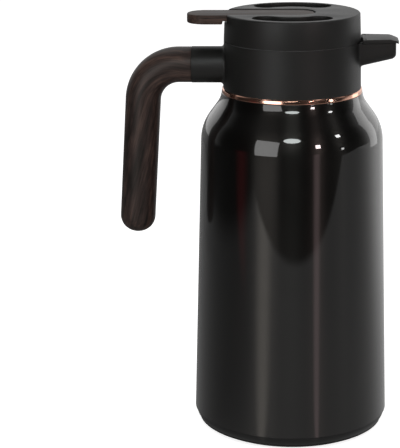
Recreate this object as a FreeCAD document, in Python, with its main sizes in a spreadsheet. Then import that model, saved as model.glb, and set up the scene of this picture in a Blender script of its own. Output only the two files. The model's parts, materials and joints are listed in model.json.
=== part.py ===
import FreeCAD, Part
import math
import os
import re

import Sketcher

# Driving sizes in millimetres: sheet name, value, what it is
SIZES = (
    ("base_radius", "68.0", "outer shell at its lower edge"),
    ("split_height", "11.0", "joint between base cover and shell"),
    ("body_taper", "5.7", "how far the side leans in up to the shoulder's corner"),
    ("shoulder_height", "23.0", "shoulder and neck, above the corner where side and shoulder would meet"),
    ("shoulder_round", "31.0", "rounding of the shoulder"),
    ("neck_bend_radius", "48.9", "corner where shoulder and neck would meet"),
    ("neck_bend_height", "4.8", "neck above that corner"),
    ("neck_round", "17.5", "hollow rounding under the trim ring"),
    ("neck_round_inside", "14.0", "the same rounding on the inner face"),
    ("neck_radius", "48.2", "shell at the trim ring"),
    ("neck_height", "239.0", "top of the shell's neck flange"),
    ("shell_wall", "0.8", "steel sheet of the shell"),
    ("cover_step", "0.5", "how far the base cover stands inside the shell's face"),
    ("cover_foot_inset", "1.8", "corner of the base cover before rounding, inside the shell's face"),
    ("cover_round", "11.2", "rounding of the base edge"),
    ("cover_round_inside", "8.0", "rounding inside the base edge"),
    ("cover_wall", "2.2", "wall of the base cover"),
    ("cover_upstand", "11.0", "ring of the base cover inside the shell"),
    ("cover_fit", "0.15", "clearance of that ring in the shell"),
    ("cup_radius", "32.5", "cup for the cushion, outside"),
    ("cup_height", "12.0", "cup above the cover's floor"),
    ("rib_width", "2.0", "stiffening ribs of the base cover"),
    ("rib_height", "5.0", "ribs above the floor"),
    ("rib_inset", "10.0", "outer end of the ribs, inside the shell's face"),
    ("rib_count", "8", "number of ribs"),
    ("foot_inset", "18.0", "edge of the silicone foot pad, inside the shell's face"),
    ("foot_thickness", "1.6", "foot pad"),
    ("foot_proud", "0.8", "foot pad below the base cover"),
    ("foot_fit", "0.2", "clearance round the foot pad"),
    ("cushion_bore", "9.0", "hole in the cushion for the flask's tip"),
    ("cushion_fit", "0.2", "clearance of the cushion in its cup"),
    ("flask_clearance", "4.3", "outer glass wall inside the shoulder's corner"),
    ("flask_foot", "20.0", "underside of the flask"),
    ("flask_round", "34.0", "rounding of the flask's bottom"),
    ("flask_shoulder_height", "34.0", "flask from its shoulder's corner up to the shell's flange"),
    ("flask_shoulder_round", "14.0", "rounding there"),
    ("flask_neck_height", "15.0", "flask from its neck's corner up to the shell's flange"),
    ("flask_neck_round", "8.0", "rounding there"),
    ("flask_gap", "4.0", "vacuum between the glass walls"),
    ("flask_neck_gap", "0.9", "vacuum at the neck"),
    ("glass", "1.6", "glass thickness"),
    ("lip_thickness", "1.5", "fused glass lip"),
    ("mouth_radius", "35.7", "mouth of the flask"),
    ("gasket_height", "2.0", "gasket on the flask's lip"),
    ("ring_height", "3.1", "trim ring"),
    ("ring_top_radius", "47.2", "trim ring at its top"),
    ("ring_round", "0.5", "edges of the trim ring"),
    ("collar_height", "32.3", "collar above the trim ring"),
    ("collar_foot_radius", "47.1", "collar at its foot"),
    ("collar_top_radius", "46.6", "collar at its rim"),
    ("collar_wall", "2.3", "collar wall at the rim"),
    ("collar_floor", "1.6", "floor of the collar at the mouth"),
    ("collar_floor_rise", "1.6", "fall of that floor towards the mouth"),
    ("collar_mouth", "36.4", "hole in the collar's floor"),
    ("seat_rise", "0.9", "gasket seat above the collar's foot"),
    ("tail_radius", "42.2", "threaded tail of the collar"),
    ("tail_length", "14.1", "tail below the collar's foot"),
    ("tail_wall", "2.2", "wall of the tail"),
    ("tail_fit", "0.3", "clearance round the tail"),
    ("nut_radius", "46.4", "clamping nut under the shell's flange"),
    ("nut_height", "7.0", "clamping nut"),
    ("nut_fit", "0.1", "clearance of the nut on the tail"),
    ("nut_notch_width", "8.0", "spanner notches of the nut"),
    ("nut_notch_depth", "3.0", "spanner notches of the nut"),
    ("nut_notch_count", "6", "number of spanner notches"),
    ("handle_height", "-0.75", "axis of the handle stub, up from the middle of the collar"),
    ("stub_radius", "12.45", "handle stub"),
    ("stub_length", "21.8", "handle stub beyond the collar"),
    ("stub_blend", "2.0", "rounding where the stub leaves the collar"),
    ("grip_radius", "12.2", "wood-grain grip"),
    ("grip_run", "32.4", "grip from the stub to the corner of its line"),
    ("grip_bend_round", "25.0", "bend of the grip's line"),
    ("grip_slant", "7.2", "lower end of the grip, outside that corner"),
    ("grip_foot_height", "139.2", "lower end of the grip"),
    ("grip_end_round", "11.4", "rounding of the grip's end"),
    ("core_radius", "6.0", "bent tube in the grip"),
    ("core_wall", "1.5", "wall of that tube"),
    ("core_fit", "0.1", "clearance round the tube"),
    ("core_depth", "16.4", "tube inside the stub"),
    ("core_foot_height", "165.0", "lower end of the tube"),
    ("handle_screw_inset", "8.4", "screw under the stub, from the stub's end"),
    ("handle_screw_sink", "3.2", "head of that screw below the stub's face"),
    ("screw_radius", "1.5", "screw shanks"),
    ("screw_head_radius", "3.0", "screw heads"),
    ("screw_head_height", "2.0", "screw heads"),
    ("screw_fit", "0.1", "clearance round screws"),
    ("spout_length", "23.9", "spout beyond the collar"),
    ("wall_sink", "2.7", "spout and stub into the collar's wall"),
    ("spout_root_width", "27.5", "spout at the collar"),
    ("spout_tip_width", "21.5", "spout at its tip"),
    ("spout_rim_drop", "0.8", "spout rim below the collar's rim"),
    ("spout_root_depth", "16.2", "spout at the collar"),
    ("spout_tip_depth", "10.6", "spout at its tip"),
    ("spout_round", "6.0", "lower edges of the spout"),
    ("spout_corner", "4.5", "tip corners of the spout in plan"),
    ("spout_blend", "2.5", "rounding where the spout leaves the collar"),
    ("spout_wall", "2.2", "walls of the spout"),
    ("window_drop", "3.4", "pouring window below the collar's rim"),
    ("window_rise", "1.2", "window's sill above the trough's floor at the root"),
    ("flap_gap", "0.2", "flap above the spout's rim"),
    ("flap_thickness", "2.6", "spout flap"),
    ("flap_overhang", "1.4", "flap beyond the spout's tip"),
    ("flap_root_width", "26.8", "flap beside its hinge"),
    ("flap_tip_width", "21.4", "flap at its tip"),
    ("flap_corner", "5.0", "tip corners of the flap"),
    ("flap_lip", "1.0", "turned-down lip of the flap"),
    ("flap_lip_drop", "1.2", "lip below the flap"),
    ("flap_lip_width", "11.0", "lip across the spout"),
    ("flap_edge", "0.7", "rounding of the flap's upper edge"),
    ("flap_hinge_offset", "1.7", "flap pin outside the collar"),
    ("flap_pin_radius", "0.6", "flap pin"),
    ("pin_gap", "0.05", "running clearance of pins"),
    ("ear_width", "2.5", "hinge ears on the collar's rim"),
    ("ear_gap", "0.3", "flap beside the ears"),
    ("ear_drop", "2.6", "underside of the ears below the collar's rim"),
    ("flap_cheek", "2.5", "flap outside the ears"),
    ("pin_skin", "1.2", "end of the flap's pin inside the flap's side"),
    ("flap_tip_run", "5.6", "sloping tip of the flap"),
    ("flap_tip_fall", "1.8", "fall of that slope"),
    ("flap_bend", "8.0", "rounding where that slope begins"),
    ("ear_radius", "1.3", "rounded head of the ears"),
    ("seam", "0.5", "gap between cap and collar, filled by the cap gasket"),
    ("cap_height", "18.6", "cap"),
    ("cap_foot_radius", "46.6", "cap at its lower edge"),
    ("cap_top_radius", "45.9", "cap at its top"),
    ("cap_rim_round", "1.2", "rounding of the cap's rim"),
    ("cap_plate", "2.4", "top of the cap"),
    ("cap_wall", "2.2", "side of the cap"),
    ("cap_gasket_inset", "0.7", "gasket inside the cap's face"),
    ("scoop_radius", "41.8", "outer arc of the finger scoops"),
    ("scoop_land_radius", "23.6", "inner arc of the finger scoops"),
    ("scoop_angle", "33", "middle of a scoop's round end, from the scoop's middle, in degrees"),
    ("scoop_depth", "8.5", "finger scoops below the cap's top"),
    ("tray_floor", "2.0", "floor of the cap tray"),
    ("tray_wall", "1.6", "walls of the cap tray"),
    ("tray_fit", "0.2", "clearance of the tray in the cap"),
    ("boss_radius", "3.4", "screw bosses of the tray"),
    ("boss_circle", "30.0", "screw bosses, from the carafe's axis"),
    ("boss_angle", "55", "screw bosses, from the spout's line, in degrees"),
    ("lever_tip", "15.2", "inner end of the lever"),
    ("lever_reach", "71.5", "outer end of the lever"),
    ("lever_width", "26.0", "lever"),
    ("lever_round", "12.5", "ends of the lever"),
    ("lever_drop", "0.5", "lever below the cap's top"),
    ("lever_thickness", "4.0", "lever over the cap"),
    ("lever_pad_thickness", "6.2", "lever pad outside the cap"),
    ("lever_pad_start", "47.2", "inner end of the pad, from the carafe's axis"),
    ("lever_edge", "0.8", "rounding of the lever's upper edge"),
    ("lever_gap", "0.6", "slot round the lever"),
    ("notch_depth", "7.2", "notch for the lever in the cap's side"),
    ("pivot_place", "35.0", "lever pin, from the carafe's axis"),
    ("pivot_drop", "4.5", "lever pin below the cap's top"),
    ("pivot_pin_radius", "1.2", "lever pin"),
    ("pivot_barrel_radius", "2.6", "barrel of the lever round its pin"),
    ("lug_start", "3.5", "inner face of the lever's lugs"),
    ("lug_width", "3.0", "lugs across"),
    ("lug_length", "6.4", "lugs along the lever"),
    ("lug_gap", "0.6", "lugs above the tray's floor"),
    ("stem_pin_drop", "6.4", "stem pin below the cap's top"),
    ("stem_pin_radius", "1.0", "stem pin"),
    ("stem_pin_slot", "3.4", "length of the slots in the lugs"),
    ("stem_radius", "3.0", "valve stem"),
    ("stem_top", "1.5", "stem above its pin"),
    ("stem_hole_gap", "0.4", "clearance of the stem in the tray"),
    ("stem_gap", "0.08", "running clearance of the stem in its guide"),
    ("stem_flange_radius", "10.0", "spring seat of the stem"),
    ("stem_flange", "2.0", "spring seat of the stem"),
    ("stem_foot_radius", "6.0", "foot of the stem under the disc"),
    ("stem_foot", "2.0", "foot of the stem under the disc"),
    ("plug_radius", "42.9", "upper section of the plug"),
    ("plug_flange_radius", "42.0", "flange under the outlet slots"),
    ("plug_waist_radius", "40.3", "second section of the plug"),
    ("plug_neck_radius", "35.1", "third section of the plug"),
    ("spigot_radius", "29.0", "spigot inside the silicone seal"),
    ("plug_wall", "2.0", "walls of the plug"),
    ("slot_drop", "14.8", "top of the outlet slots below the collar's rim"),
    ("slot_height", "2.4", "outlet slots"),
    ("slot_width", "33.0", "outlet slots across"),
    ("slot_count", "6", "number of outlet slots"),
    ("flange_drop", "20.3", "underside of the flange"),
    ("waist_drop", "28.0", "underside of the second section"),
    ("plug_neck_drop", "35.3", "underside of the third section"),
    ("seal_step_drop", "40.5", "step between the two seal lips"),
    ("seal_drop", "47.2", "underside of the seal"),
    ("base_drop", "51.3", "underside of the plug"),
    ("seal_upper_radius", "35.3", "upper seal lip"),
    ("seal_lower_radius", "32.0", "lower seal lip"),
    ("seal_round", "1.6", "rounding of the lower lip"),
    ("seal_fit", "0.05", "clearance of the seal on its spigot"),
    ("base_plate_radius", "30.2", "plate that holds the seal"),
    ("base_plate_round", "2.2", "rounding of that plate"),
    ("base_spigot", "8.0", "spigot of that plate inside the plug"),
    ("base_fit", "0.1", "clearance of that spigot"),
    ("valve_hole", "14.0", "hole that the valve disc closes"),
    ("disc_radius", "18.0", "valve disc"),
    ("disc_thickness", "3.3", "valve disc"),
    ("disc_fit", "0.05", "clearance of the disc on the stem"),
    ("deck_drop", "11.0", "top of the stem guide's deck"),
    ("deck_thickness", "2.4", "deck of the stem guide"),
    ("deck_fit", "0.2", "clearance of the deck in the plug"),
    ("deck_ledge", "1.6", "ledge under the deck"),
    ("guide_radius", "5.6", "tube of the stem guide"),
    ("guide_length", "10.0", "tube below the deck"),
    ("guide_rise", "4.4", "tube above the deck"),
    ("seal_ring_height", "2.4", "ring seal round the stem"),
    ("seal_ring_gap", "0.25", "ring seal beside the stem"),
    ("seal_ring_width", "1.5", "ring seal across"),
    ("spring_radius", "8.2", "middle of the spring's wire"),
    ("spring_wire", "0.6", "radius of the spring's wire"),
    ("spring_turns", "7", "turns of the spring"),
    ("spring_gap", "0.05", "spring beside its seats"),
)

doc = FreeCAD.newDocument("thermal_carafe")
sheet = doc.addObject("Spreadsheet::Sheet", "sizes")
for row, (alias, value, note) in enumerate(SIZES, start=1):
    sheet.set("A%d" % row, alias)
    sheet.set("B%d" % row, value)
    sheet.set("C%d" % row, note)
    sheet.setAlias("B%d" % row, alias)
doc.recompute()

ALIASES = {alias for alias, value, note in SIZES}
UP = FreeCAD.Vector(0, 0, 1)
pieces = []

# Heights and radii that several pieces share, worked out from the sheet
FLOOR = "(foot_thickness + cover_wall)"
COVER_RING = "(base_radius - shell_wall - cover_fit)"
SHOULDER = "(neck_height - shoulder_height)"
NECK_BEND = "(neck_height - neck_bend_height)"
FLASK_SHOULDER = "(neck_height - flask_shoulder_height)"
FLASK_BEND = "(neck_height - flask_neck_height)"
HANDLE_AXIS = "(neck_height + ring_height + collar_height / 2 + handle_height)"
COVER_LEAN = "(body_taper * cover_upstand / (neck_height - shoulder_height - split_height))"
COLLAR_FOOT = "(neck_height + ring_height)"
COLLAR_TOP = "(neck_height + ring_height + collar_height)"
GASKET_SEAT = "(neck_height + ring_height + seat_rise)"
LIP_TOP = "(neck_height + ring_height + seat_rise - gasket_height)"
LIP_SEAT = "(neck_height + ring_height + seat_rise - gasket_height - lip_thickness)"
LINER_FOOT = "(flask_foot + glass + flask_gap)"
SHOULDER_RADIUS = "(base_radius - body_taper)"
NECK_SLOPE = "atan2(neck_bend_height; neck_bend_radius - neck_radius)"
SHOULDER_SLOPE = "atan2(shoulder_height - neck_bend_height; base_radius - body_taper - neck_bend_radius)"
NECK_TURN = "abs(%s - %s)" % (NECK_SLOPE, SHOULDER_SLOPE)
NECK_ROUND = "min(neck_round; neck_bend_height / tan(%s / 2))" % NECK_TURN
NECK_ROUND_INSIDE = "min(neck_round_inside; (neck_bend_height - shell_wall) / tan(%s / 2))" % NECK_TURN
FLASK_RADIUS = "(base_radius - body_taper - flask_clearance)"
LINER_RADIUS = "(base_radius - body_taper - flask_clearance - glass - flask_gap)"
FOOT_RADIUS = "(base_radius - foot_inset)"
ROOT = "(collar_top_radius - wall_sink)"
STUB_REACH = "(collar_top_radius + stub_length)"
GRIP_BEND = "(collar_top_radius + stub_length + grip_run)"
CORE_START = "(collar_top_radius + stub_length - core_depth)"
SCREW_PLACE = "(collar_top_radius + stub_length - handle_screw_inset)"
SPOUT_REACH = "(collar_top_radius + spout_length)"
FLAP_REACH = "(collar_top_radius + spout_length + flap_overhang)"
FLAP_HINGE = "(collar_top_radius + flap_hinge_offset)"
OUTER_NECK = "(mouth_radius + glass + flask_neck_gap + glass)"
BORE = "(collar_top_radius - collar_wall)"
SPOUT_RIM = "(neck_height + ring_height + collar_height - spout_rim_drop)"
FLAP_UNDER = "(neck_height + ring_height + collar_height - spout_rim_drop + flap_gap)"
FLAP_AXIS = "(neck_height + ring_height + collar_height - spout_rim_drop + flap_gap + flap_thickness / 2)"
FLAP_WIDE = "(collar_top_radius + flap_hinge_offset + ear_radius + ear_gap)"
CAP_FOOT = "(neck_height + ring_height + collar_height + seam)"
CAP_TOP = "(neck_height + ring_height + collar_height + seam + cap_height)"
PLATE_UNDER = "(%s - cap_plate)" % CAP_TOP
TRAY_TOP = "(%s - scoop_depth)" % CAP_TOP
TRAY_FOOT = "(%s - scoop_depth - tray_floor)" % CAP_TOP
TRAY_RADIUS = "(cap_top_radius - cap_wall - tray_fit)"
LEVER_TOP = "(%s - lever_drop)" % CAP_TOP
LEVER_UNDER = "(%s - lever_drop - lever_thickness)" % CAP_TOP
PAD_UNDER = "(%s - lever_drop - lever_pad_thickness)" % CAP_TOP
PIVOT_HEIGHT = "(%s - pivot_drop)" % CAP_TOP
STEM_PIN_HEIGHT = "(%s - stem_pin_drop)" % CAP_TOP
DECK_TOP = "(neck_height + ring_height + collar_height - deck_drop)"
DECK_UNDER = "(neck_height + ring_height + collar_height - deck_drop - deck_thickness)"
SEAT = "(neck_height + ring_height + collar_height - seal_drop)"
DISC_TOP = "(neck_height + ring_height + collar_height - seal_drop + disc_thickness)"


def below_rim(drop):
    """Height expression of a level that lies a sheet size below the collar's rim."""
    return "(neck_height + ring_height + collar_height - %s)" % drop


def bound(expression):
    """Expression with every sheet name written as a reference to the sheet."""
    return re.sub(r"[a-z_]+", lambda word: "sizes." + word[0] if word[0] in ALIASES else word[0], expression)


def number(expression):
    """Present value of an expression, in millimetres or degrees."""
    return float(sheet.evalExpression(bound(expression)))


# Sketch helpers
def new_body(label):
    """Empty body for one piece."""
    body = doc.addObject("PartDesign::Body", label)
    pieces.append(body)
    return body


def new_sketch(body, name, plane, offset="0"):
    """Sketch on one of the body's origin planes, moved along the plane's normal."""
    sketch = body.newObject("Sketcher::SketchObject", name)
    support = next(item for item in body.Origin.OriginFeatures if item.Role == plane)
    sketch.AttachmentSupport = [(support, "")]
    sketch.MapMode = "FlatFace"
    sketch.AttachmentOffset = FreeCAD.Placement(UP * number(offset), FreeCAD.Rotation())
    sketch.setExpression("AttachmentOffset.Base.z", bound(offset))
    return sketch


def tie(sketch, constraint, expression):
    """Add a dimension and bind it to the sheet."""
    index = sketch.addConstraint(constraint)
    name = "size%d" % index
    sketch.renameConstraint(index, name)
    sketch.setExpression("Constraints." + name, bound(expression))


def place_point(sketch, geometry, position, across, along):
    """Fix a point of the sketch at two expressions measured from the sketch's origin."""
    for kind, axis, expression in (("DistanceX", -2, across), ("DistanceY", -1, along)):
        if expression == "0":
            sketch.addConstraint(Sketcher.Constraint("PointOnObject", geometry, position, axis))
        else:
            tie(sketch, Sketcher.Constraint(kind, -1, 1, geometry, position, number(expression)), expression)


def corner_arc(here, before, after, radius):
    """Tangent arc at a corner: where it starts, where it ends, its curve and whether it turns left."""
    back = (before - here).normalize()
    ahead = (after - here).normalize()
    half = back.getAngle(ahead) / 2
    entry = here + back * (radius / math.tan(half))
    leave = here + ahead * (radius / math.tan(half))
    centre = here + (back + ahead).normalize() * (radius / math.sin(half))
    turns_left = back.cross(ahead).z < 0
    first, last = (entry, leave) if turns_left else (leave, entry)
    start = math.atan2(first.y - centre.y, first.x - centre.x)
    sweep = (math.atan2(last.y - centre.y, last.x - centre.x) - start) % (2 * math.pi)
    curve = Part.ArcOfCircle(Part.Circle(centre, UP, radius), start, start + sweep)
    return entry, leave, curve, turns_left


def draw_chain(sketch, corners, closed=True):
    """Straight lines through corners (across, along, optional rounding), tangent arcs at rounded corners."""
    count = len(corners)
    places = [FreeCAD.Vector(number(corner[0]), number(corner[1]), 0) for corner in corners]
    entries = list(places)
    leaves = list(places)
    arcs = {}
    for index, corner in enumerate(corners):
        if len(corner) == 3:
            radius = number(corner[2])
            following = places[(index + 1) % count]
            entry, leave, curve, turns_left = corner_arc(places[index], places[index - 1], following, radius)
            entries[index] = entry
            leaves[index] = leave
            arcs[index] = (sketch.addGeometry(curve), turns_left)
    lines = []
    for index in range(count if closed else count - 1):
        line = Part.LineSegment(leaves[index], entries[(index + 1) % count])
        lines.append(sketch.addGeometry(line))
    for index, corner in enumerate(corners):
        if not closed and index == count - 1:
            place_point(sketch, lines[-1], 2, corner[0], corner[1])
        elif not closed and index == 0:
            place_point(sketch, lines[0], 1, corner[0], corner[1])
        elif index in arcs:
            round_corner(sketch, corner, places[index], lines[index - 1], lines[index], arcs[index])
        else:
            sketch.addConstraint(Sketcher.Constraint("Coincident", lines[index - 1], 2, lines[index], 1))
            place_point(sketch, lines[index], 1, corner[0], corner[1])


def round_corner(sketch, corner, place, before, after, arc):
    """Hold a rounded corner by its sharp point, its radius and tangency to both lines."""
    curve, turns_left = arc
    entry, leave = (1, 2) if turns_left else (2, 1)
    point = sketch.addGeometry(Part.Point(place), True)
    place_point(sketch, point, 1, corner[0], corner[1])
    sketch.addConstraint(Sketcher.Constraint("PointOnObject", point, 1, before))
    sketch.addConstraint(Sketcher.Constraint("PointOnObject", point, 1, after))
    sketch.addConstraint(Sketcher.Constraint("Tangent", before, 2, curve, entry))
    sketch.addConstraint(Sketcher.Constraint("Tangent", curve, leave, after, 1))
    tie(sketch, Sketcher.Constraint("Radius", curve, number(corner[2])), corner[2])


def draw_circle(sketch, across, along, radius):
    """Circle held by its centre and radius."""
    centre = FreeCAD.Vector(number(across), number(along), 0)
    circle = sketch.addGeometry(Part.Circle(centre, UP, number(radius)))
    place_point(sketch, circle, 3, across, along)
    tie(sketch, Sketcher.Constraint("Radius", circle, number(radius)), radius)


def draw_scoop(sketch, side, grow):
    """Finger scoop: a slot bent about the carafe's axis, with round ends; side is 1 or -1."""
    outer = "scoop_radius + " + grow
    inner = "scoop_land_radius - " + grow
    middle_radius = "(scoop_radius + scoop_land_radius) / 2"
    end_radius = number("(%s - %s) / 2" % (outer, "(" + inner + ")"))
    spread = math.radians(number("scoop_angle"))
    first_angle = side * math.pi / 2 - spread
    last_angle = side * math.pi / 2 + spread
    rim_circle = Part.Circle(FreeCAD.Vector(), UP, number(outer))
    land_circle = Part.Circle(FreeCAD.Vector(), UP, number(inner))
    rim = sketch.addGeometry(Part.ArcOfCircle(rim_circle, first_angle, last_angle))
    land = sketch.addGeometry(Part.ArcOfCircle(land_circle, first_angle, last_angle))
    ends = []
    for angle, begin in ((first_angle, first_angle + math.pi), (last_angle, last_angle)):
        centre = FreeCAD.Vector(math.cos(angle), math.sin(angle), 0) * number(middle_radius)
        circle = Part.Circle(centre, UP, end_radius)
        ends.append(sketch.addGeometry(Part.ArcOfCircle(circle, begin, begin + math.pi)))
    first, last = ends
    sketch.addConstraint(Sketcher.Constraint("Coincident", rim, 3, -1, 1))
    sketch.addConstraint(Sketcher.Constraint("Coincident", land, 3, -1, 1))
    sketch.addConstraint(Sketcher.Constraint("Tangent", rim, 2, last, 1))
    sketch.addConstraint(Sketcher.Constraint("Tangent", last, 2, land, 2))
    sketch.addConstraint(Sketcher.Constraint("Tangent", land, 1, first, 1))
    sketch.addConstraint(Sketcher.Constraint("Tangent", first, 2, rim, 1))
    tie(sketch, Sketcher.Constraint("Radius", rim, number(outer)), outer)
    tie(sketch, Sketcher.Constraint("Radius", land, number(inner)), inner)
    for end, sign in ((first, side), (last, -side)):
        reach = "%d * %s * sin(scoop_angle * 1 deg)" % (sign, middle_radius)
        value = sign * number(middle_radius) * math.sin(spread)
        tie(sketch, Sketcher.Constraint("DistanceX", -1, 1, end, 3, value), reach)


# Feature helpers
def revolve(body, name, corners, kind="PartDesign::Revolution"):
    """Turn an outline of (radius, height) corners about the vertical axis, adding or cutting."""
    sketch = new_sketch(body, name + "_outline", "XZ_Plane")
    draw_chain(sketch, corners)
    feature = body.newObject(kind, name)
    feature.Profile = sketch
    feature.ReferenceAxis = (sketch, ["V_Axis"])
    feature.Angle = 360
    return feature


def turned(label, corners):
    """Piece that is one turned outline."""
    body = new_body(label)
    revolve(body, label + "_turn", corners)
    return body


def extrude(body, sketch, kind, name, length, symmetric=False, backwards=False):
    """Pad or pocket of a sketch over a bound length."""
    feature = body.newObject(kind, name)
    feature.Profile = sketch
    feature.Type = "Length"
    feature.setExpression("Length", bound(length))
    feature.Midplane = symmetric
    feature.Reversed = backwards
    return feature


def pad(body, sketch, name, length, symmetric=False, backwards=False):
    """Add a sketch's outline over a length."""
    return extrude(body, sketch, "PartDesign::Pad", name, length, symmetric, backwards)


def pocket(body, sketch, name, length, symmetric=False, backwards=False):
    """Cut a sketch's outline over a length, against the sketch's normal."""
    return extrude(body, sketch, "PartDesign::Pocket", name, length, symmetric, backwards)


def ring_pattern(body, feature, name, count):
    """Repeat a feature evenly about the vertical axis."""
    pattern = body.newObject("PartDesign::PolarPattern", name)
    pattern.Originals = [feature]
    axis = next(item for item in body.Origin.OriginFeatures if item.Role == "Z_Axis")
    pattern.Axis = (axis, [""])
    pattern.Angle = 360
    pattern.Occurrences = int(number(count))
    pattern.setExpression("Occurrences", bound(count))
    body.Tip = pattern
    return pattern


def round_edges(body, base, name, chosen, radius):
    """Round the edges of a feature that a test on the edge's middle and ends picks out."""
    doc.recompute()
    names = ["Edge%d" % index for index, edge in enumerate(base.Shape.Edges, start=1) if chosen(edge)]
    if not names:
        raise RuntimeError("no edge found for " + name)
    feature = body.newObject("PartDesign::Fillet", name)
    feature.Base = (base, names)
    feature.setExpression("Radius", bound(radius))
    return feature


def lies_at(edge, axis, expression):
    """True where all of an edge lies at one level of an axis."""
    box = edge.BoundBox
    low, high = (box.XMin, box.XMax) if axis == "x" else (box.ZMin, box.ZMax)
    level = number(expression)
    return abs(low - level) < 1e-4 and abs(high - level) < 1e-4


def across_pin(label, radius, length, across, height):
    """Round pin along Y."""
    pin = doc.addObject("Part::Cylinder", label)
    pin.setExpression("Radius", bound(radius))
    pin.setExpression("Height", bound(length))
    half = "(%s) / 2" % length
    pin.Placement = FreeCAD.Placement(FreeCAD.Vector(), FreeCAD.Rotation(FreeCAD.Vector(1, 0, 0), 90))
    pin.setExpression("Placement.Base.x", bound(across))
    pin.setExpression("Placement.Base.y", bound(half))
    pin.setExpression("Placement.Base.z", bound(height))
    pieces.append(pin)
    return pin


def upright_screw(name, across, along, head_foot, shank_length):
    """Screw with its head down: a head and a shank above it."""
    head = doc.addObject("Part::Cylinder", name + "_head")
    head.setExpression("Radius", bound("screw_head_radius"))
    head.setExpression("Height", bound("screw_head_height"))
    shank = doc.addObject("Part::Cylinder", name + "_shank")
    shank.setExpression("Radius", bound("screw_radius"))
    shank.setExpression("Height", bound("screw_head_height + " + shank_length))
    for item in (head, shank):
        item.setExpression("Placement.Base.x", bound(across))
        item.setExpression("Placement.Base.y", bound(along))
        item.setExpression("Placement.Base.z", bound(head_foot))
    screw = doc.addObject("Part::Fuse", name)
    screw.Base = head
    screw.Tool = shank
    return screw


# Steel shell, base and vacuum flask
def outer_shell():
    """Painted steel shell, open below, with an inward flange at the neck."""
    turned("outer_shell", [
        ("base_radius", "split_height"),
        (SHOULDER_RADIUS, SHOULDER, "shoulder_round"),
        ("neck_bend_radius", NECK_BEND, NECK_ROUND),
        ("neck_radius", "neck_height"),
        ("tail_radius + tail_fit", "neck_height"),
        ("tail_radius + tail_fit", "neck_height - shell_wall"),
        ("neck_radius - shell_wall", "neck_height - shell_wall"),
        ("neck_bend_radius - shell_wall", NECK_BEND, NECK_ROUND_INSIDE),
        (SHOULDER_RADIUS + " - shell_wall", SHOULDER, "shoulder_round"),
        ("base_radius - shell_wall", "split_height"),
    ])


def base_cover():
    """Moulded base with a rounded edge, a ring inside the shell, a cushion cup and ribs."""
    inner_ring = COVER_RING + " - cover_wall"
    body = new_body("base_cover")
    revolve(body, "base_cover_turn", [
        ("0", "foot_thickness"),
        (FOOT_RADIUS + " + foot_fit", "foot_thickness"),
        (FOOT_RADIUS + " + foot_fit", "foot_proud"),
        ("base_radius - cover_foot_inset", "foot_proud", "cover_round"),
        ("base_radius - cover_step", "split_height"),
        (COVER_RING, "split_height"),
        (COVER_RING + " - " + COVER_LEAN, "split_height + cover_upstand"),
        (inner_ring + " - " + COVER_LEAN, "split_height + cover_upstand"),
        (inner_ring, FLOOR, "cover_round_inside"),
        ("cup_radius", FLOOR),
        ("cup_radius", FLOOR + " + cup_height"),
        ("cup_radius - cover_wall", FLOOR + " + cup_height"),
        ("cup_radius - cover_wall", FLOOR),
        ("0", FLOOR),
    ])
    sketch = new_sketch(body, "rib_outline", "XY_Plane", FLOOR)
    draw_chain(sketch, [
        ("cup_radius - cover_wall / 2", "-rib_width / 2"),
        ("base_radius - rib_inset", "-rib_width / 2"),
        ("base_radius - rib_inset", "rib_width / 2"),
        ("cup_radius - cover_wall / 2", "rib_width / 2"),
    ])
    rib = pad(body, sketch, "rib", "rib_height")
    ring_pattern(body, rib, "ribs", "rib_count")


def foot_pad():
    """Silicone pad that the carafe stands on."""
    disc = doc.addObject("Part::Cylinder", "foot_pad")
    disc.setExpression("Radius", bound(FOOT_RADIUS))
    disc.setExpression("Height", bound("foot_thickness"))
    pieces.append(disc)


def liner_support():
    """Cushion between the base cover and the flask."""
    outside = "cup_radius - cover_wall - cushion_fit"
    turned("liner_support", [
        ("cushion_bore", FLOOR),
        (outside, FLOOR),
        (outside, "flask_foot"),
        ("cushion_bore", "flask_foot"),
    ])


def flask_outer():
    """Outer glass wall of the vacuum flask."""
    inner_neck = "mouth_radius + glass + flask_neck_gap"
    turned("flask_outer", [
        ("0", "flask_foot"),
        (FLASK_RADIUS, "flask_foot", "flask_round"),
        (FLASK_RADIUS, FLASK_SHOULDER, "flask_shoulder_round"),
        (OUTER_NECK, FLASK_BEND, "flask_neck_round"),
        (OUTER_NECK, LIP_SEAT),
        (inner_neck, LIP_SEAT),
        (inner_neck, FLASK_BEND + " - glass", "flask_neck_round + glass"),
        (FLASK_RADIUS + " - glass", FLASK_SHOULDER + " - glass", "flask_shoulder_round - glass"),
        (FLASK_RADIUS + " - glass", "flask_foot + glass", "flask_round - glass"),
        ("0", "flask_foot + glass"),
    ])


def flask_inner():
    """Inner glass wall, with the lip that joins it to the outer wall."""
    neck = "mouth_radius + glass"
    shoulder = FLASK_SHOULDER + " - flask_gap / 2"
    bend = FLASK_BEND + " - flask_gap"
    turned("flask_inner", [
        ("0", LINER_FOOT),
        (LINER_RADIUS, LINER_FOOT, "flask_round - glass - flask_gap"),
        (LINER_RADIUS, shoulder, "flask_shoulder_round - flask_gap"),
        (neck, bend, "flask_neck_round"),
        (neck, LIP_SEAT),
        (OUTER_NECK, LIP_SEAT),
        (OUTER_NECK, LIP_TOP),
        ("mouth_radius", LIP_TOP),
        ("mouth_radius", bend + " - glass / 2", "flask_neck_round + glass"),
        (LINER_RADIUS + " - glass", shoulder + " - glass / 2", "flask_shoulder_round - flask_gap - glass"),
        (LINER_RADIUS + " - glass", LINER_FOOT + " + glass", "flask_round - glass - flask_gap - glass"),
        ("0", LINER_FOOT + " + glass"),
    ])


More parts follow.
